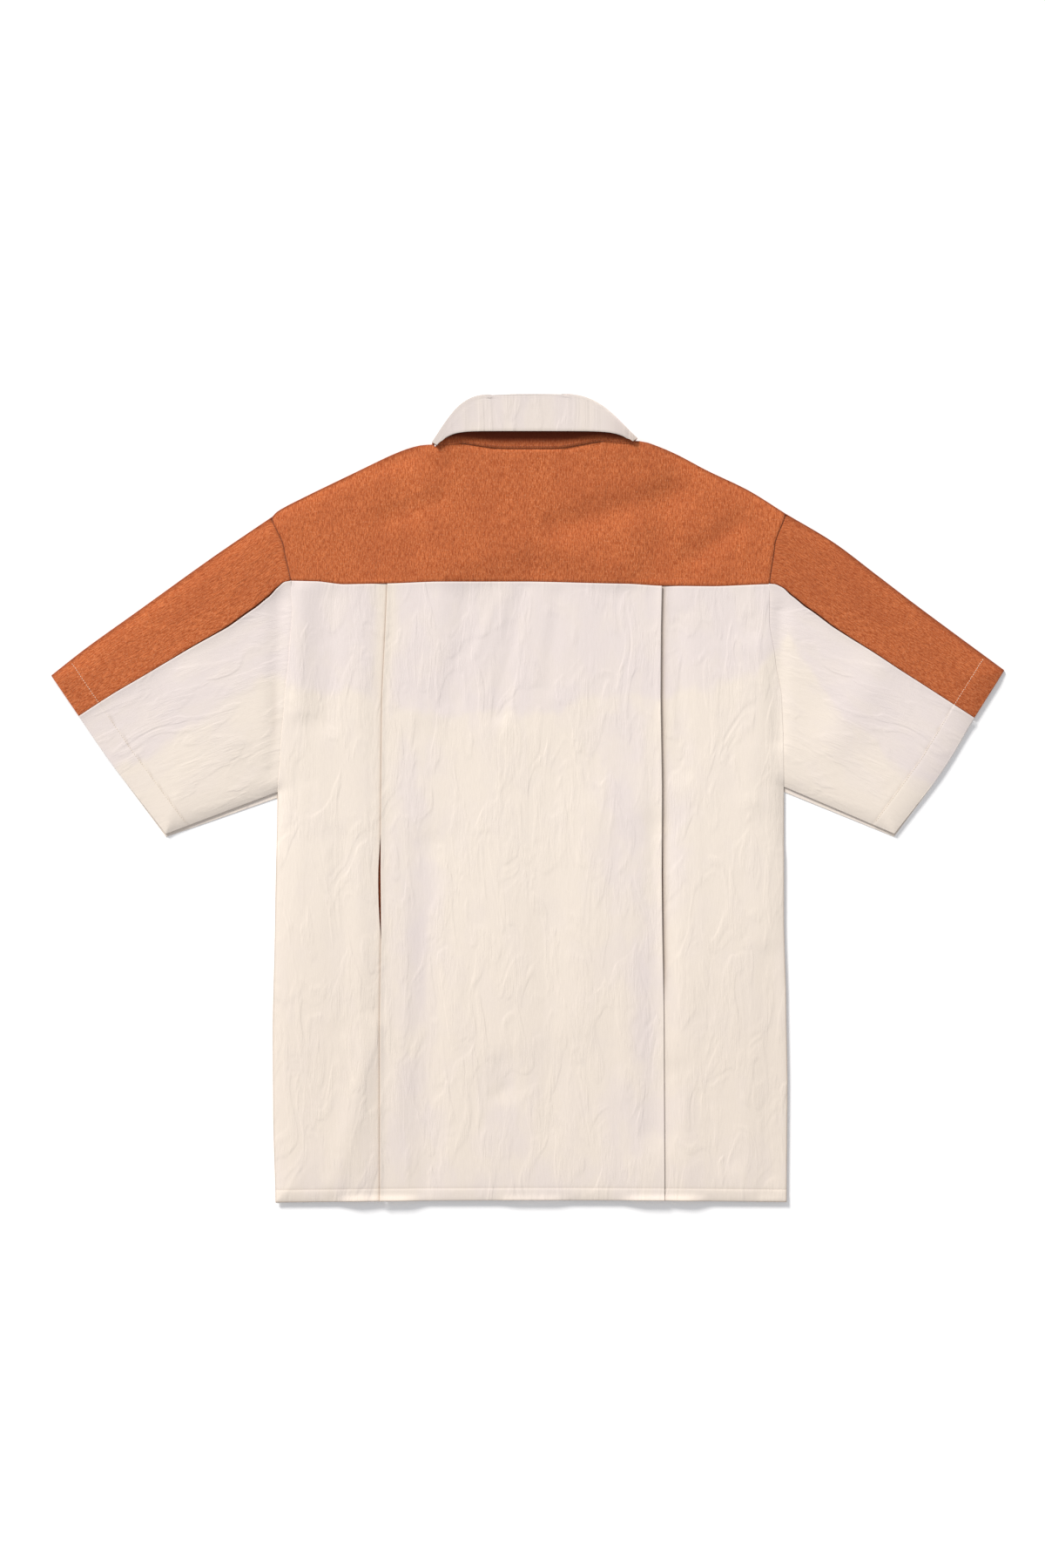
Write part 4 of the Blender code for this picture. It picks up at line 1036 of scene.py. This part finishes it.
from_armhole = np.minimum(*(np.abs(x - edge_x(side, y)) for side in SIGN))
yoke[..., 2] += on_back * (rumple(x, y, 21) * ease(run / 12.0) + seam_dip(run)
                           + 0.6 * seam_dip(from_armhole))
# Painted shade, carried in the seam mark: lines along the yoke's seams, the armholes and the outline of the
# shoulder fold.
painted_shade = 0.6 * fading(run, 0.8) + 0.6 * fading(from_armhole, 0.9)
painted_shade = painted_shade + 0.75 * soft(from_row(yoke, yoke_rows + TURNS // 2), 1.1)
painted_shade[left:left + neck + 1] *= 1 - ease((y[left:left + neck + 1] - 300.0) / 10.0)
piece = cloth("back_yoke_cloth", yoke, rust_canvas, (x, run), has_cell=cells,
              seam=np.clip(painted_shade, 0.0, 0.85) * on_top)
declare("back_yoke")


# ---------------------------------------------------------------- Sleeves
# Each sleeve has a band of rust canvas over the top of the arm and cream crepe below it, back
# and front. The seam lies under the arm, and the cuff has a deep hem sewn with pale thread.

BandPoint = namedtuple("BandPoint", "along left right")
BAND_SEAM = [BandPoint(*row) for row in (  # its share of the depth, from armhole (0) to cuff (1)
    (0, 0.232, 0.257), (0.03, 0.2243, 0.2482), (0.06, 0.2315, 0.248), (0.1, 0.246, 0.261),
    (0.17, 0.2575, 0.2757), (0.3, 0.2687, 0.287), (0.5, 0.26, 0.283), (1, 0.252, 0.286),
)]
ARMHOLE_GAP = 0.05
CUFF_HEM, CUFF_LIFT = 25.0, 1.3
SLEEVE_LONG, SLEEVE_DOWN = 265.0, 165.0
BAND_SEED, SLEEVE_SEED = 31, 41
CUFF_MARKS = (0.8, 1.8, 3.2, 5.0, 7.5, 10.5, 14.0, 18.0, 21.5, 23.6, 24.4, 25.0, 25.6, 26.4, 27.6)


def straight(a, b):
    """The straight edge between two points."""
    return lambda share: (lerp(a[0], b[0], share), lerp(a[1], b[1], share))


def sleeve_patch(side, layer):
    """The flat sleeve: shares along it from the armhole, and down it from the top fold."""
    high, low = side_points(BODY_EDGE, side)[-1][1], UNDERARM_Y[side][layer]
    top = through(side_points(SLEEVE_TOP, side))
    cuff = through(back_cuff(side) if layer == "back" else side_points(CUFF, side))

    def armhole(share):
        y = lerp(high, low, share)
        return edge_x(side, y) + SIGN[side] * ARMHOLE_GAP, y

    foot = tuple(float(v) for v in armhole(1.0)), tuple(float(v) for v in cuff(1.0))
    return patch(top, straight(*foot), armhole, cuff)


def band_share(side, along):
    """The band's share of the sleeve's depth this far along it."""
    return read([(point.along, getattr(point, side)) for point in BAND_SEAM], along)


def along_columns(points):
    """How far each point lies from its row's first, measured over the cloth."""
    return along_rows(np.swapaxes(points, 0, 1)).T


def cuff_distance(side, x, y):
    """How far points lie from the cuff's edge."""
    corners = side_points(CUFF, side)
    apart = np.full(np.broadcast(x, y).shape, 1e9)
    for a, b in zip(corners, corners[1:]):
        apart = np.minimum(apart, distance(x, y, *a, *b))
    return apart


def sleeve_folds(side, x, y, seed):
    """Small creases that run along the sleeve, less of them near the outline."""
    across = (x * 0.55 + SIGN[side] * y * 0.83)
    along = (x * 0.83 - SIGN[side] * y * 0.55)
    apart = outline_distance(BODY_OUTLINE, x, y)
    return 0.45 * rumple(across, along, seed) * ease(apart / 12.0)


for side, sign in SIGN.items():
    at, under = sleeve_patch(side, "back"), sleeve_patch(side, "front")
    over, turned_over = slice(None, None, sign), slice(None, None, -sign)  # keeps the outside out
    along = marked_steps(SLEEVE_LONG, FINE, SEAM_MARKS, CUFF_MARKS)
    share = band_share(side, along)
    seam_line, fold_line = at(along, share), at(along, 0.0 * along)
    band_rows, under_rows = ((20, 14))
    columns = [over_fold(seam, fold, None, band_rows, under_rows)
               for seam, fold in zip(zip(*seam_line), zip(*fold_line))]
    band = np.stack([bowed(side, 1 - part, column, band_rows, seam_line[1][0], fold_line[1][0])
                     for part, column in zip(along, columns)])
    x, y = band[..., 0], band[..., 1]
    run = along_rows(band)
    on_back, on_top = (first_rows(band, band_rows + count) for count in (1, TURNS // 2 + 1))
    from_cuff, from_armhole = cuff_distance(side, x, y), np.abs(x - edge_x(side, y))
    grain = along_columns(band)
    z = sleeve_folds(side, x, y, BAND_SEED + sign) + 0.5 * seam_dip(run) + hem_rise(from_cuff, CUFF_HEM)
    fold_near = 1 - ease(np.hypot(x - fold_line[0][:, None], y - fold_line[1][:, None]) / 14.0)
    z = z + CUFF_LIFT * fading(from_cuff, 6.0) * (1 - fold_near)
    band[..., 2] += on_back * (z + 0.7 * seam_dip(from_armhole))
    # Painted shade, carried in the seam mark: lines along the seam, the armhole and the fold's outline, and
    # the whole right band a little darker.
    painted_shade = 0.5 * fading(run, 0.7) + 0.55 * fading(from_armhole, 1.0) + (0.11 if sign > 0 else 0.0)
    painted_shade = painted_shade + 0.75 * soft(from_row(band, band_rows + TURNS // 2), 1.1)
    painted_shade = np.clip(painted_shade, 0.0, 0.85) * on_top
    piece = cloth(f"sleeve_band_{side}_cloth", band[over], rust_canvas, (run[over], grain[over]),
                  seam=painted_shade[over])
    declare(f"sleeve_band_{side}")

    down = marked_steps(SLEEVE_DOWN, FINE, SIDE_MARKS, SEAM_MARKS)
    x, y = at(along[:, None], lerp(1.0, share[:, None], down[None, :]))
    from_cuff, from_armhole = cuff_distance(side, x, y), np.abs(x - edge_x(side, y))
    tuck = fading(from_armhole, 1.5)
    x = x - sign * 1.1 * tuck
    seam_x, seam_top = np.broadcast_to(seam_line[0][:, None], x.shape), seam_line[1][:, None]
    from_band = np.hypot(x - seam_x, y - seam_top)
    z = upper(x, y) + sleeve_folds(side, x, y, SLEEVE_SEED + sign) + seam_ridge(from_band)
    z = z + hem_rise(from_cuff, CUFF_HEM) - 0.45 * tuck
    from_foot = along_rows(np.stack([x, y, 0 * x], axis=2)[:, ::-1])[:, ::-1]
    z = z + CUFF_LIFT * fading(from_cuff, 6.0) + 1.0 * fading(from_foot, 6.0)
    back = np.stack([x, y, z], axis=2)
    run, grain = along_rows(back), along_columns(back)
    # Painted shade, carried in the seam mark: a line along the cuff's stitching, a little by the armhole,
    # and a patch of shade by the left armhole.
    painted_shade = 0.3 * soft(from_cuff - CUFF_HEM - 0.5, 0.7) + 0.06 * tuck
    if side == "left":
        painted_shade = painted_shade + 0.16 * np.exp(-((x + 257.0) / 4.0) ** 2 - ((y - 85.0) / 28.0) ** 2)
    piece = cloth(f"sleeve_back_{side}_cloth", back[over], cream_crepe, (run[over], grain[over]),
                  tone=cool_tone(x, y)[over], seam=painted_shade[over], calm=0.38)
    declare(f"sleeve_back_{side}")

    x, y = under(along[:, None], lerp(share[:, None], 1.0, down[None, :]))
    front = np.stack([x, y, lower(x, y)], axis=2)
    piece = cloth(f"sleeve_front_{side}_cloth", front[turned_over], cream_crepe,
                  (along_rows(front)[turned_over], along_columns(front)[turned_over]), outer=0.3,
                  inner=0.5, tone=0.2, seam=0.0)
    declare(f"sleeve_front_{side}")


# ---------------------------------------------------------------- Collar
# A one-piece camp collar of two plies, cream outside and rust inside, swept round the neck: up
# from the neck seam, over the roll and down to the leaf's edge. Its edge is turned and pressed.

COLLAR_TOP_Y, LEAF_EDGE_Y, LEAF_DROP_POWER = 407.8, 370.4, 8
FRONT_ROLL_Y, COLLAR_PARTING, NECK_BEND_Y = 286.0, 2.0, 320.0
Level = namedtuple("Level", "stand leaf edge")
COLLAR_BACK = Level(9.8, 16.2, 15.2)
COLLAR_FRONT = Level(5.6, COLLAR_HALF, COLLAR_HALF)
ROLL_REACH, STAND_RUN, ROLL_RUN, LEAF_RUN = 0.4, 1.2, 2.0, 5.2
TURN_AT_ROLL, TURN_AT_TIP, TURN_SHARE = (0.95, 0.31), (0.85, 0.53), 0.4
BACK_STEPS, SIDE_STEPS, FRONT_STEPS = ((36, 14, 26))
STAND_STEPS, ROLL_STEPS, LEAF_STEPS = ((18, 16, 20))
LEAF_CREASES = [Fold(*row) for row in (
    (-4, 409, 4, 397, 2.2, -0.55), (3, 402, 12, 392, 3, 0.35), (60, 401, 66, 384, 4, -0.3),
    (-62, 400, -76, 380, 5, -0.3), (24, 398, 18, 378, 5, 0.3), (-24, 394, -10, 376, 5, -0.25),
)]
LEAF_TURN = 2.2  # how far from the edge the leaf starts to curl down
TIP_DROP = 3.0


def bezier(points, share):
    """A point of the smooth curve that these points steer."""
    while len(points) > 1:
        points = [lerp(a, b, share) for a, b in zip(points, points[1:])]
    return points[0]


def less(place, direction, length):
    """A place moved back along a direction."""
    return tuple(p - d * length for p, d in zip(place, direction))


def collar_side(side, part):
    """The leaf's fold at the neck's side, and the way its cloth turns out there."""
    collar = COLLAR[side]
    across, up = lerp(TURN_AT_ROLL, TURN_AT_TIP, float(ease(part / TURN_SHARE)))
    way = (SIGN[side] * across, up)
    place = bezier([collar.roll, collar.bulge_1, collar.bulge_2, collar.tip], part)
    return less(place, way, LEAF_RUN + COLLAR_HALF), way


def collar_section(side, where, share, turn):
    """Points from the neck seam over the roll to the leaf's edge."""
    collar, sign = COLLAR[side], SIGN[side]
    roll_side, tip = collar_side(side, 0.0)[0], collar_side(side, 1.0)[0]
    if where == "back":
        seam = neck_seam(side, share)
        roll = (roll_side[0] * share, lerp(COLLAR_TOP_Y - COLLAR_HALF, roll_side[1], share ** 2))
        edge = (tip[0] * share, lerp(LEAF_EDGE_Y, tip[1], share ** LEAF_DROP_POWER))
        weight = share ** 3
    else:
        parting = CENTRE_X + sign * COLLAR_PARTING
        neck = (collar.seam[0] - sign * WALL, NECK_BEND_Y)
        seam = lerp(lerp((parting, NECK_FRONT_Y + GAP), neck, float(ease(share)) ** 0.8),
                    collar.seam, share ** 5)
        roll = lerp((parting, FRONT_ROLL_Y), roll_side, share)
        edge = lerp(collar.point, tip, share)
        weight = share ** 2
    on_back = (1 + math.cos(turn)) / 2
    levels = Level(*lerp(tuple(COLLAR_FRONT), tuple(COLLAR_BACK), on_back))
    seam_level = lerp(COLLAR_FRONT.stand, float(upper(*neck_seam(side, share))), on_back)
    edge_level = levels.edge - TIP_DROP * on_back ** 2 * (share ** 6 if where == "back" else 1.0)
    radius = (levels.leaf - levels.stand) / 2
    stand_end = lerp(roll, seam, min(ROLL_REACH, abs(radius) / math.dist(seam, roll)))
    leaf_start = lerp(roll, edge, min(ROLL_REACH, abs(radius) / math.dist(edge, roll)))
    section = []
    for k in range(STAND_STEPS):
        part = k / STAND_STEPS
        section.append((lerp(seam, stand_end, part), lerp(seam_level, levels.stand, part),
                        lerp(STAND_RUN, ROLL_RUN, part), 0.0))
    for k in range(ROLL_STEPS + 1):
        part = k / ROLL_STEPS
        place = lerp(lerp(stand_end, leaf_start, part), roll, abs(math.sin(math.pi * part)) ** 0.35)
        height = levels.stand + radius * (1 - math.cos(math.pi * part))
        section.append((place, height, lerp(ROLL_RUN, LEAF_RUN, part), 0.0))
    for k in range(1, LEAF_STEPS + 1):
        part = float(ease(k / LEAF_STEPS))
        place = less(lerp(leaf_start, edge, part), lerp(roll_side, tip, part), weight)
        place = tuple(p + weight * b for p, b in zip(place, collar_side(side, part)[0]))
        section.append((place, lerp(levels.leaf, edge_level, part), LEAF_RUN, part))
    points = []
    for place, height, run, part in section:
        way = collar_side(side, part)[1]
        points.append((*less(place, way, -run * math.sin(turn)), height))
    return points


halves = {}
for side in SIGN:
    half = [collar_section(side, "back", k / BACK_STEPS, 0.0) for k in range(BACK_STEPS)]
    half += [collar_section(side, "back", 1.0, math.pi * k / SIDE_STEPS) for k in range(SIDE_STEPS + 1)]
    half += [collar_section(side, "front", 1 - k / FRONT_STEPS, math.pi)
             for k in range(1, FRONT_STEPS + 1)]
    halves[side] = half
collar = np.array(halves["left"][:0:-1] + halves["right"])
tilt, heading = math.radians(KEY_TILT), math.radians(KEY_HEADING)
TO_KEY = np.array([math.sin(heading) * math.sin(tilt),  # the way to the key light
                   -math.cos(heading) * math.sin(tilt), math.cos(tilt)])
columns = len(collar)
x, y = collar[..., 0], collar[..., 1]
run = along_rows(collar)
to_edge = run[:, -1:] - run
round_neck = along_columns(collar)
round_neck = round_neck - round_neck[columns // 2]
roll_row, middle_column = STAND_STEPS + ROLL_STEPS // 2, columns // 2
on_leaf, over = 1 - first_rows(collar, roll_row), 1 - first_rows(collar, STAND_STEPS)
behind = np.zeros((columns, 1))
behind[middle_column - BACK_STEPS + 2:middle_column + BACK_STEPS - 1] = 1.0
leaf_relief = (0.6 * folded(LEAF_CREASES, x, y) + 0.4 * rumple(x, y, 51)) * ease(to_edge / 6.0)
curl = -0.5 * (1 - ease(to_edge / LEAF_TURN))
collar[..., 2] += behind * on_leaf * (leaf_relief + curl)
to_roll = run - run[:, roll_row:roll_row + 1]
near_end = ease((np.abs(x - CENTRE_X) - 58.0) / 40.0)
# Painted shade: the leaf cooler and darker by the roll and towards its ends, with a painted highlight along
# the leaf's edge.
tone = 0.6 + 0.35 * fading(np.abs(to_roll), 7.0) + 0.4 * near_end - 0.8 * fading(to_edge, 1.4)
tone = np.clip(tone, 0.0, 1.2) * over
# Painted shade: the collar's two ends darker, carried in the seam mark.
shaded = 0.50 * ease((x - CENTRE_X - 66.0) / 40.0) + 0.22 * ease((CENTRE_X - 76.0 - x) / 30.0)
shaded = np.clip(shaded, 0.0, 1.0) * over
# Painted shade: the roll darker where it faces the key light, with a dark line along its outline.
facing = -(grid_normals(collar) @ TO_KEY) / TO_KEY[2]
at_back = ease((66.0 - np.abs(x - CENTRE_X)) / 36.0)
turned = 1.4 * (1 - 0.95 / (0.25 + 0.75 * np.maximum(facing, 0.9)))
turned = turned + 0.2 * at_back * soft(from_row(collar, roll_row), 0.9)
turned = np.clip(turned, 0.0, 0.9) * over
upper_ply = cloth("collar_upper_cloth", collar, cream_crepe, (round_neck, run), outer=-PLY_GAP / 2,
                  inner=COLLAR_HALF, tone=tone, seam=shaded, turned=turned)
declare("collar_upper")
stitch_dip = -0.3 * soft(run - 3.0, 0.8)
under = collar.copy()
near_tip = np.zeros((columns, 1))
near_tip[middle_column - BACK_STEPS - 3:middle_column + BACK_STEPS + 4] = 1.0
near_tip = near_tip * ease((np.abs(x[:, :1] - CENTRE_X) - 70.0) / 14.0)
under[:, :3, 0] += near_tip * np.sign(x[:, :1] - CENTRE_X) * np.array([[3.4, 2.2, 1.0]])
under[:, :3, 1] -= near_tip * np.array([[2.6, 1.6, 0.7]])
under[..., 2] += behind * (1 - on_leaf) * (seam_dip(run) * 0.3 + stitch_dip)
# Painted shadow of the leaf on the undercollar, darkest by the leaf, and painted shade along the neck seam
# and its stitching, carried in the seam mark.
painted_shade = 0.96 * ease((run - 1.5) / 9.5)
painted_shade = painted_shade + 0.3 * fading(run, 0.4) + 0.15 * soft(run - 3.0, 0.5)
painted_shade = np.clip(painted_shade, 0.0, 0.96) * (1 - on_leaf)
under_ply = cloth("collar_under_cloth", under, rust_canvas, (round_neck, run), outer=COLLAR_HALF,
                  inner=-PLY_GAP / 2, seam=painted_shade)
declare("collar_under")


# ---------------------------------------------------------------- Buttons
# Six four-hole buttons, turned from horn-coloured resin with a dished face, are sewn down the
# front and lie face down on the table.

BUTTON_X = CENTRE_X
BUTTON_ROWS = (248.0, 148.0, 48.0, -52.0, -152.0, -252.0)
BUTTON_RADIUS, BUTTON_THICK, HOLE_RADIUS, HOLE_APART = 7.5, 2.4, 0.9, 1.5
BUTTON_RIM, DISH_SLOPE, DISH_DEEP, BUTTON_ROUNDING = 1.9, 0.7, 0.7, 0.35


def cylinder(sides, radius, tall, place):
    """An upright cylinder, its size and its middle's place in millimetres."""
    bpy.ops.object.select_all(action="DESELECT")
    bpy.ops.mesh.primitive_cylinder_add(vertices=sides, radius=radius * MM, depth=tall * MM,
                                        location=tuple(value * MM for value in place))
    return bpy.context.object


horn, tree, shader = new_finish("button_horn", Roughness=0.32, Coat_Weight=0.25)
place = add(tree, "ShaderNodeTexCoord").outputs["Object"]
grain = add(tree, "ShaderNodeTexNoise", Vector=place, Scale=260.0, Detail=3.0, Distortion=1.4)
colour = mix_colour(tree, map_range(tree, grain.outputs["Fac"], 0.35, 0.65), (0.62, 0.47, 0.32, 1.0),
                    (0.34, 0.22, 0.13, 1.0))
tree.links.new(colour, shader.inputs["Base Color"])

button = cylinder(40, BUTTON_RADIUS, BUTTON_THICK, (BUTTON_X, BUTTON_ROWS[0], BUTTON_THICK / 2))
bpy.ops.object.transform_apply(location=True, rotation=False, scale=False)
bpy.ops.object.mode_set(mode="EDIT")
bpy.ops.mesh.select_mode(type="FACE")
bpy.ops.mesh.select_all(action="DESELECT")
bpy.ops.object.mode_set(mode="OBJECT")
for face in button.data.polygons:
    face.select = face.normal.z < -0.9
bpy.ops.object.mode_set(mode="EDIT")
bpy.ops.mesh.inset(thickness=BUTTON_RIM * MM)
bpy.ops.mesh.inset(thickness=DISH_SLOPE * MM)
bpy.ops.transform.translate(value=(0.0, 0.0, DISH_DEEP * MM))
bpy.ops.object.mode_set(mode="OBJECT")
bevel = button.modifiers.new("rounding", "BEVEL")
bevel.width = BUTTON_ROUNDING * MM
bevel.segments = 2
bpy.ops.object.modifier_apply(modifier="rounding")
for step_x in (-1, 1):
    for step_y in (-1, 1):
        place = (BUTTON_X + step_x * HOLE_APART, BUTTON_ROWS[0] + step_y * HOLE_APART, 0.0)
        drill = cylinder(14, HOLE_RADIUS, 8.0, place)
        bpy.context.view_layer.objects.active = button
        hole = button.modifiers.new("hole", "BOOLEAN")
        hole.operation = "DIFFERENCE"
        hole.solver = "EXACT"
        hole.object = drill
        bpy.ops.object.modifier_apply(modifier="hole")
        bpy.data.objects.remove(drill)
button.data.materials.clear()
button.data.materials.append(horn)
button.data.shade_smooth()
button.data.set_sharp_from_angle(angle=math.radians(35))
for count, row_y in enumerate(BUTTON_ROWS, start=1):
    piece = button
    if count > 1:
        piece = bpy.data.objects.new(f"button_{count}_turned", button.data.copy())
        bpy.context.scene.collection.objects.link(piece)
        for vertex in piece.data.vertices:
            vertex.co.y += (row_y - BUTTON_ROWS[0]) * MM
    piece.name = f"button_{count}_turned"
    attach(piece, "root")
    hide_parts(f"button_{count}")


# ---------------------------------------------------------------- Stitching
# Rows of single stitches: pale thread round both cuffs and the body's hem, rust thread along the
# neck, and the thread that holds the buttons.


def thread_finish(name, colour):
    """Sewing thread, mottled by its twist."""
    made, tree, shader = new_finish(name, Roughness=0.6, Sheen_Weight=0.1)
    place = add(tree, "ShaderNodeTexCoord").outputs["Object"]
    twist = add(tree, "ShaderNodeTexNoise", Vector=place, Scale=1900.0)
    darker = tuple(0.72 * c for c in colour[:3]) + (1.0,)
    tree.links.new(mix_colour(tree, map_range(tree, twist.outputs["Fac"], 0.4, 0.6), darker, colour),
                   shader.inputs["Base Color"])
    return made


pale_thread = thread_finish("pale_thread", (0.86, 0.74, 0.58, 1.0))
rust_thread = thread_finish("rust_thread", (0.30, 0.065, 0.024, 1.0))
STITCH_INSET = 0.4  # inside the end of a turned hem
CUFF_THREAD_UP, HEM_THREAD_UP, NECK_THREAD_UP = 0.62, 0.55, 0.12
STITCH_SHARE = 0.72  # of the pitch, the rest is the gap
NECK_STITCH = 2.6  # from the neck's seam
PLACKET_STITCH = 25.0  # from the placket's edge
CUFF_FROM, CUFF_ALONG, CUFF_DOWN = 0.80, 121, 240  # where and how finely a cuff's row is sought
STITCH_SIDES = 6
STITCH_RINGS = ((-0.5, 0.35), (-0.36, 0.85), (0.0, 1.0), (0.36, 0.85), (0.5, 0.35))


def stitched(name, ends, radius, finish):
    """One mesh of short thread lengths, each bent between two ends given as arrays of points."""
    starts, stops = ends
    count = len(starts)
    way = stops - starts
    length = np.linalg.norm(way, axis=1)[:, None]
    way = way / length
    side_way = np.cross(way, (0.0, 0.0, 1.0))
    side_way /= np.maximum(np.linalg.norm(side_way, axis=1), 1e-9)[:, None]
    up_way = np.cross(side_way, way)
    verts = []
    for part, wide in STITCH_RINGS:
        centre = (starts + stops) / 2 + way * length * part - up_way * radius * 1.2 * (2 * part) ** 2
        for k in range(STITCH_SIDES):
            angle = math.tau * k / STITCH_SIDES
            verts.append(centre + radius * wide * (side_way * math.cos(angle) + up_way * math.sin(angle)))
    each = len(verts)
    verts = np.stack(verts, axis=1).reshape(-1, 3)
    faces = []
    for ring in range(len(STITCH_RINGS) - 1):
        for k in range(STITCH_SIDES):
            a, b = ring * STITCH_SIDES + k, ring * STITCH_SIDES + (k + 1) % STITCH_SIDES
            faces.append((a, a + STITCH_SIDES, b + STITCH_SIDES, b))
    caps = [list(range(STITCH_SIDES)), list(range(each - STITCH_SIDES, each))[::-1]]
    every = [[v + each * n for v in face] for n in range(count) for face in faces + caps]
    mesh = bpy.data.meshes.new(name)
    mesh.from_pydata((verts * MM).tolist(), [], every)
    mesh.validate()
    mesh.shade_smooth()
    mesh.materials.append(finish)
    piece = bpy.data.objects.new(name, mesh)
    bpy.context.scene.collection.objects.link(piece)
    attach(piece, "root")
    return piece


def along_path(path, pitch):
    """The ends of stitches at an even pitch along a path of points."""
    lengths = np.concatenate([[0.0], np.cumsum(np.linalg.norm(np.diff(path, axis=0), axis=1))])
    first = np.arange(pitch / 2, lengths[-1] - pitch, pitch)

    def at(where):
        return np.stack([np.interp(where, lengths, path[:, k]) for k in range(3)], axis=1)

    return at(first), at(first + pitch * STITCH_SHARE)


for side, sign in SIGN.items():
    at = sleeve_patch(side, "back")
    near = np.linspace(CUFF_FROM, 1.0, CUFF_ALONG)[:, None]
    down = np.linspace(0.012, 0.985, CUFF_DOWN)[None, :]
    x, y = at(near, down)
    row = np.argmax(cuff_distance(side, x, y) < CUFF_HEM - STITCH_INSET, axis=0)
    x, y = (np.take_along_axis(np.broadcast_to(value, (CUFF_ALONG, CUFF_DOWN)), row[None, :], 0)[0]
            for value in (x, y))
    on_band = down[0] < band_share(side, near[row, 0])
    z = upper(x, y) + np.where(on_band, sleeve_folds(side, x, y, BAND_SEED + sign),
                               sleeve_folds(side, x, y, SLEEVE_SEED + sign))
    z = z + hem_rise(cuff_distance(side, x, y), CUFF_HEM) + CUFF_THREAD_UP
    stitched(f"cuff_stitches_{side}", along_path(np.stack([x, y, z], axis=1), 2.6), 0.30, pale_thread)

x = np.linspace(-252.0, 257.0, 500)
y = hem_y(x) + HEM_TALL - STITCH_INSET
left_x, right_x = pleat_x("left", y), pleat_x("right", y)
beyond = np.maximum(np.maximum(left_x - x, x - right_x), 0.0)
stepped = np.where(beyond > 0, PLEAT_STEP * soft(beyond, PLEAT_STEP_RUN), 0.0)
z = upper(x, y) - stepped + hem_rise(HEM_TALL - STITCH_INSET, HEM_TALL) + HEM_THREAD_UP
z = z + np.where(x > right_x, creased(x, y, RIGHT_SEED), creased(x, y, LEFT_SEED))
stitched("hem_stitches", along_path(np.stack([x, y, z], axis=1), 2.8), 0.26, pale_thread)

normal = grid_normals(under)
path = []
for i in range(middle_column - BACK_STEPS + 1, middle_column + BACK_STEPS):
    place = [np.interp(NECK_STITCH, run[i, :STAND_STEPS], under[i, :STAND_STEPS, k]) for k in range(3)]
    path.append(np.array(place) + normal[i, 2] * (COLLAR_HALF + NECK_THREAD_UP))
stitched("neck_stitches", along_path(np.array(path), 2.8), 0.24, rust_thread)

y = np.linspace(-395.0, 262.0, 400)
x = np.full_like(y, CENTRE_X + OVERLAP - PLACKET_STITCH)
z = front_height("left", x, y) - HEM_THREAD_UP
stitched("placket_stitches", along_path(np.stack([x, y, z], axis=1), 2.8), 0.22, pale_thread)

starts, stops = [], []
for row_y in BUTTON_ROWS:
    for step in (-1, 1):
        starts.append((BUTTON_X - HOLE_APART, row_y + step * HOLE_APART, 0.5))
        stops.append((BUTTON_X + HOLE_APART, row_y + step * HOLE_APART, 0.5))
stitched("button_threads", (np.array(starts), np.array(stops)), 0.4, pale_thread)


# ---------------------------------------------------------------- Done

low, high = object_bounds()
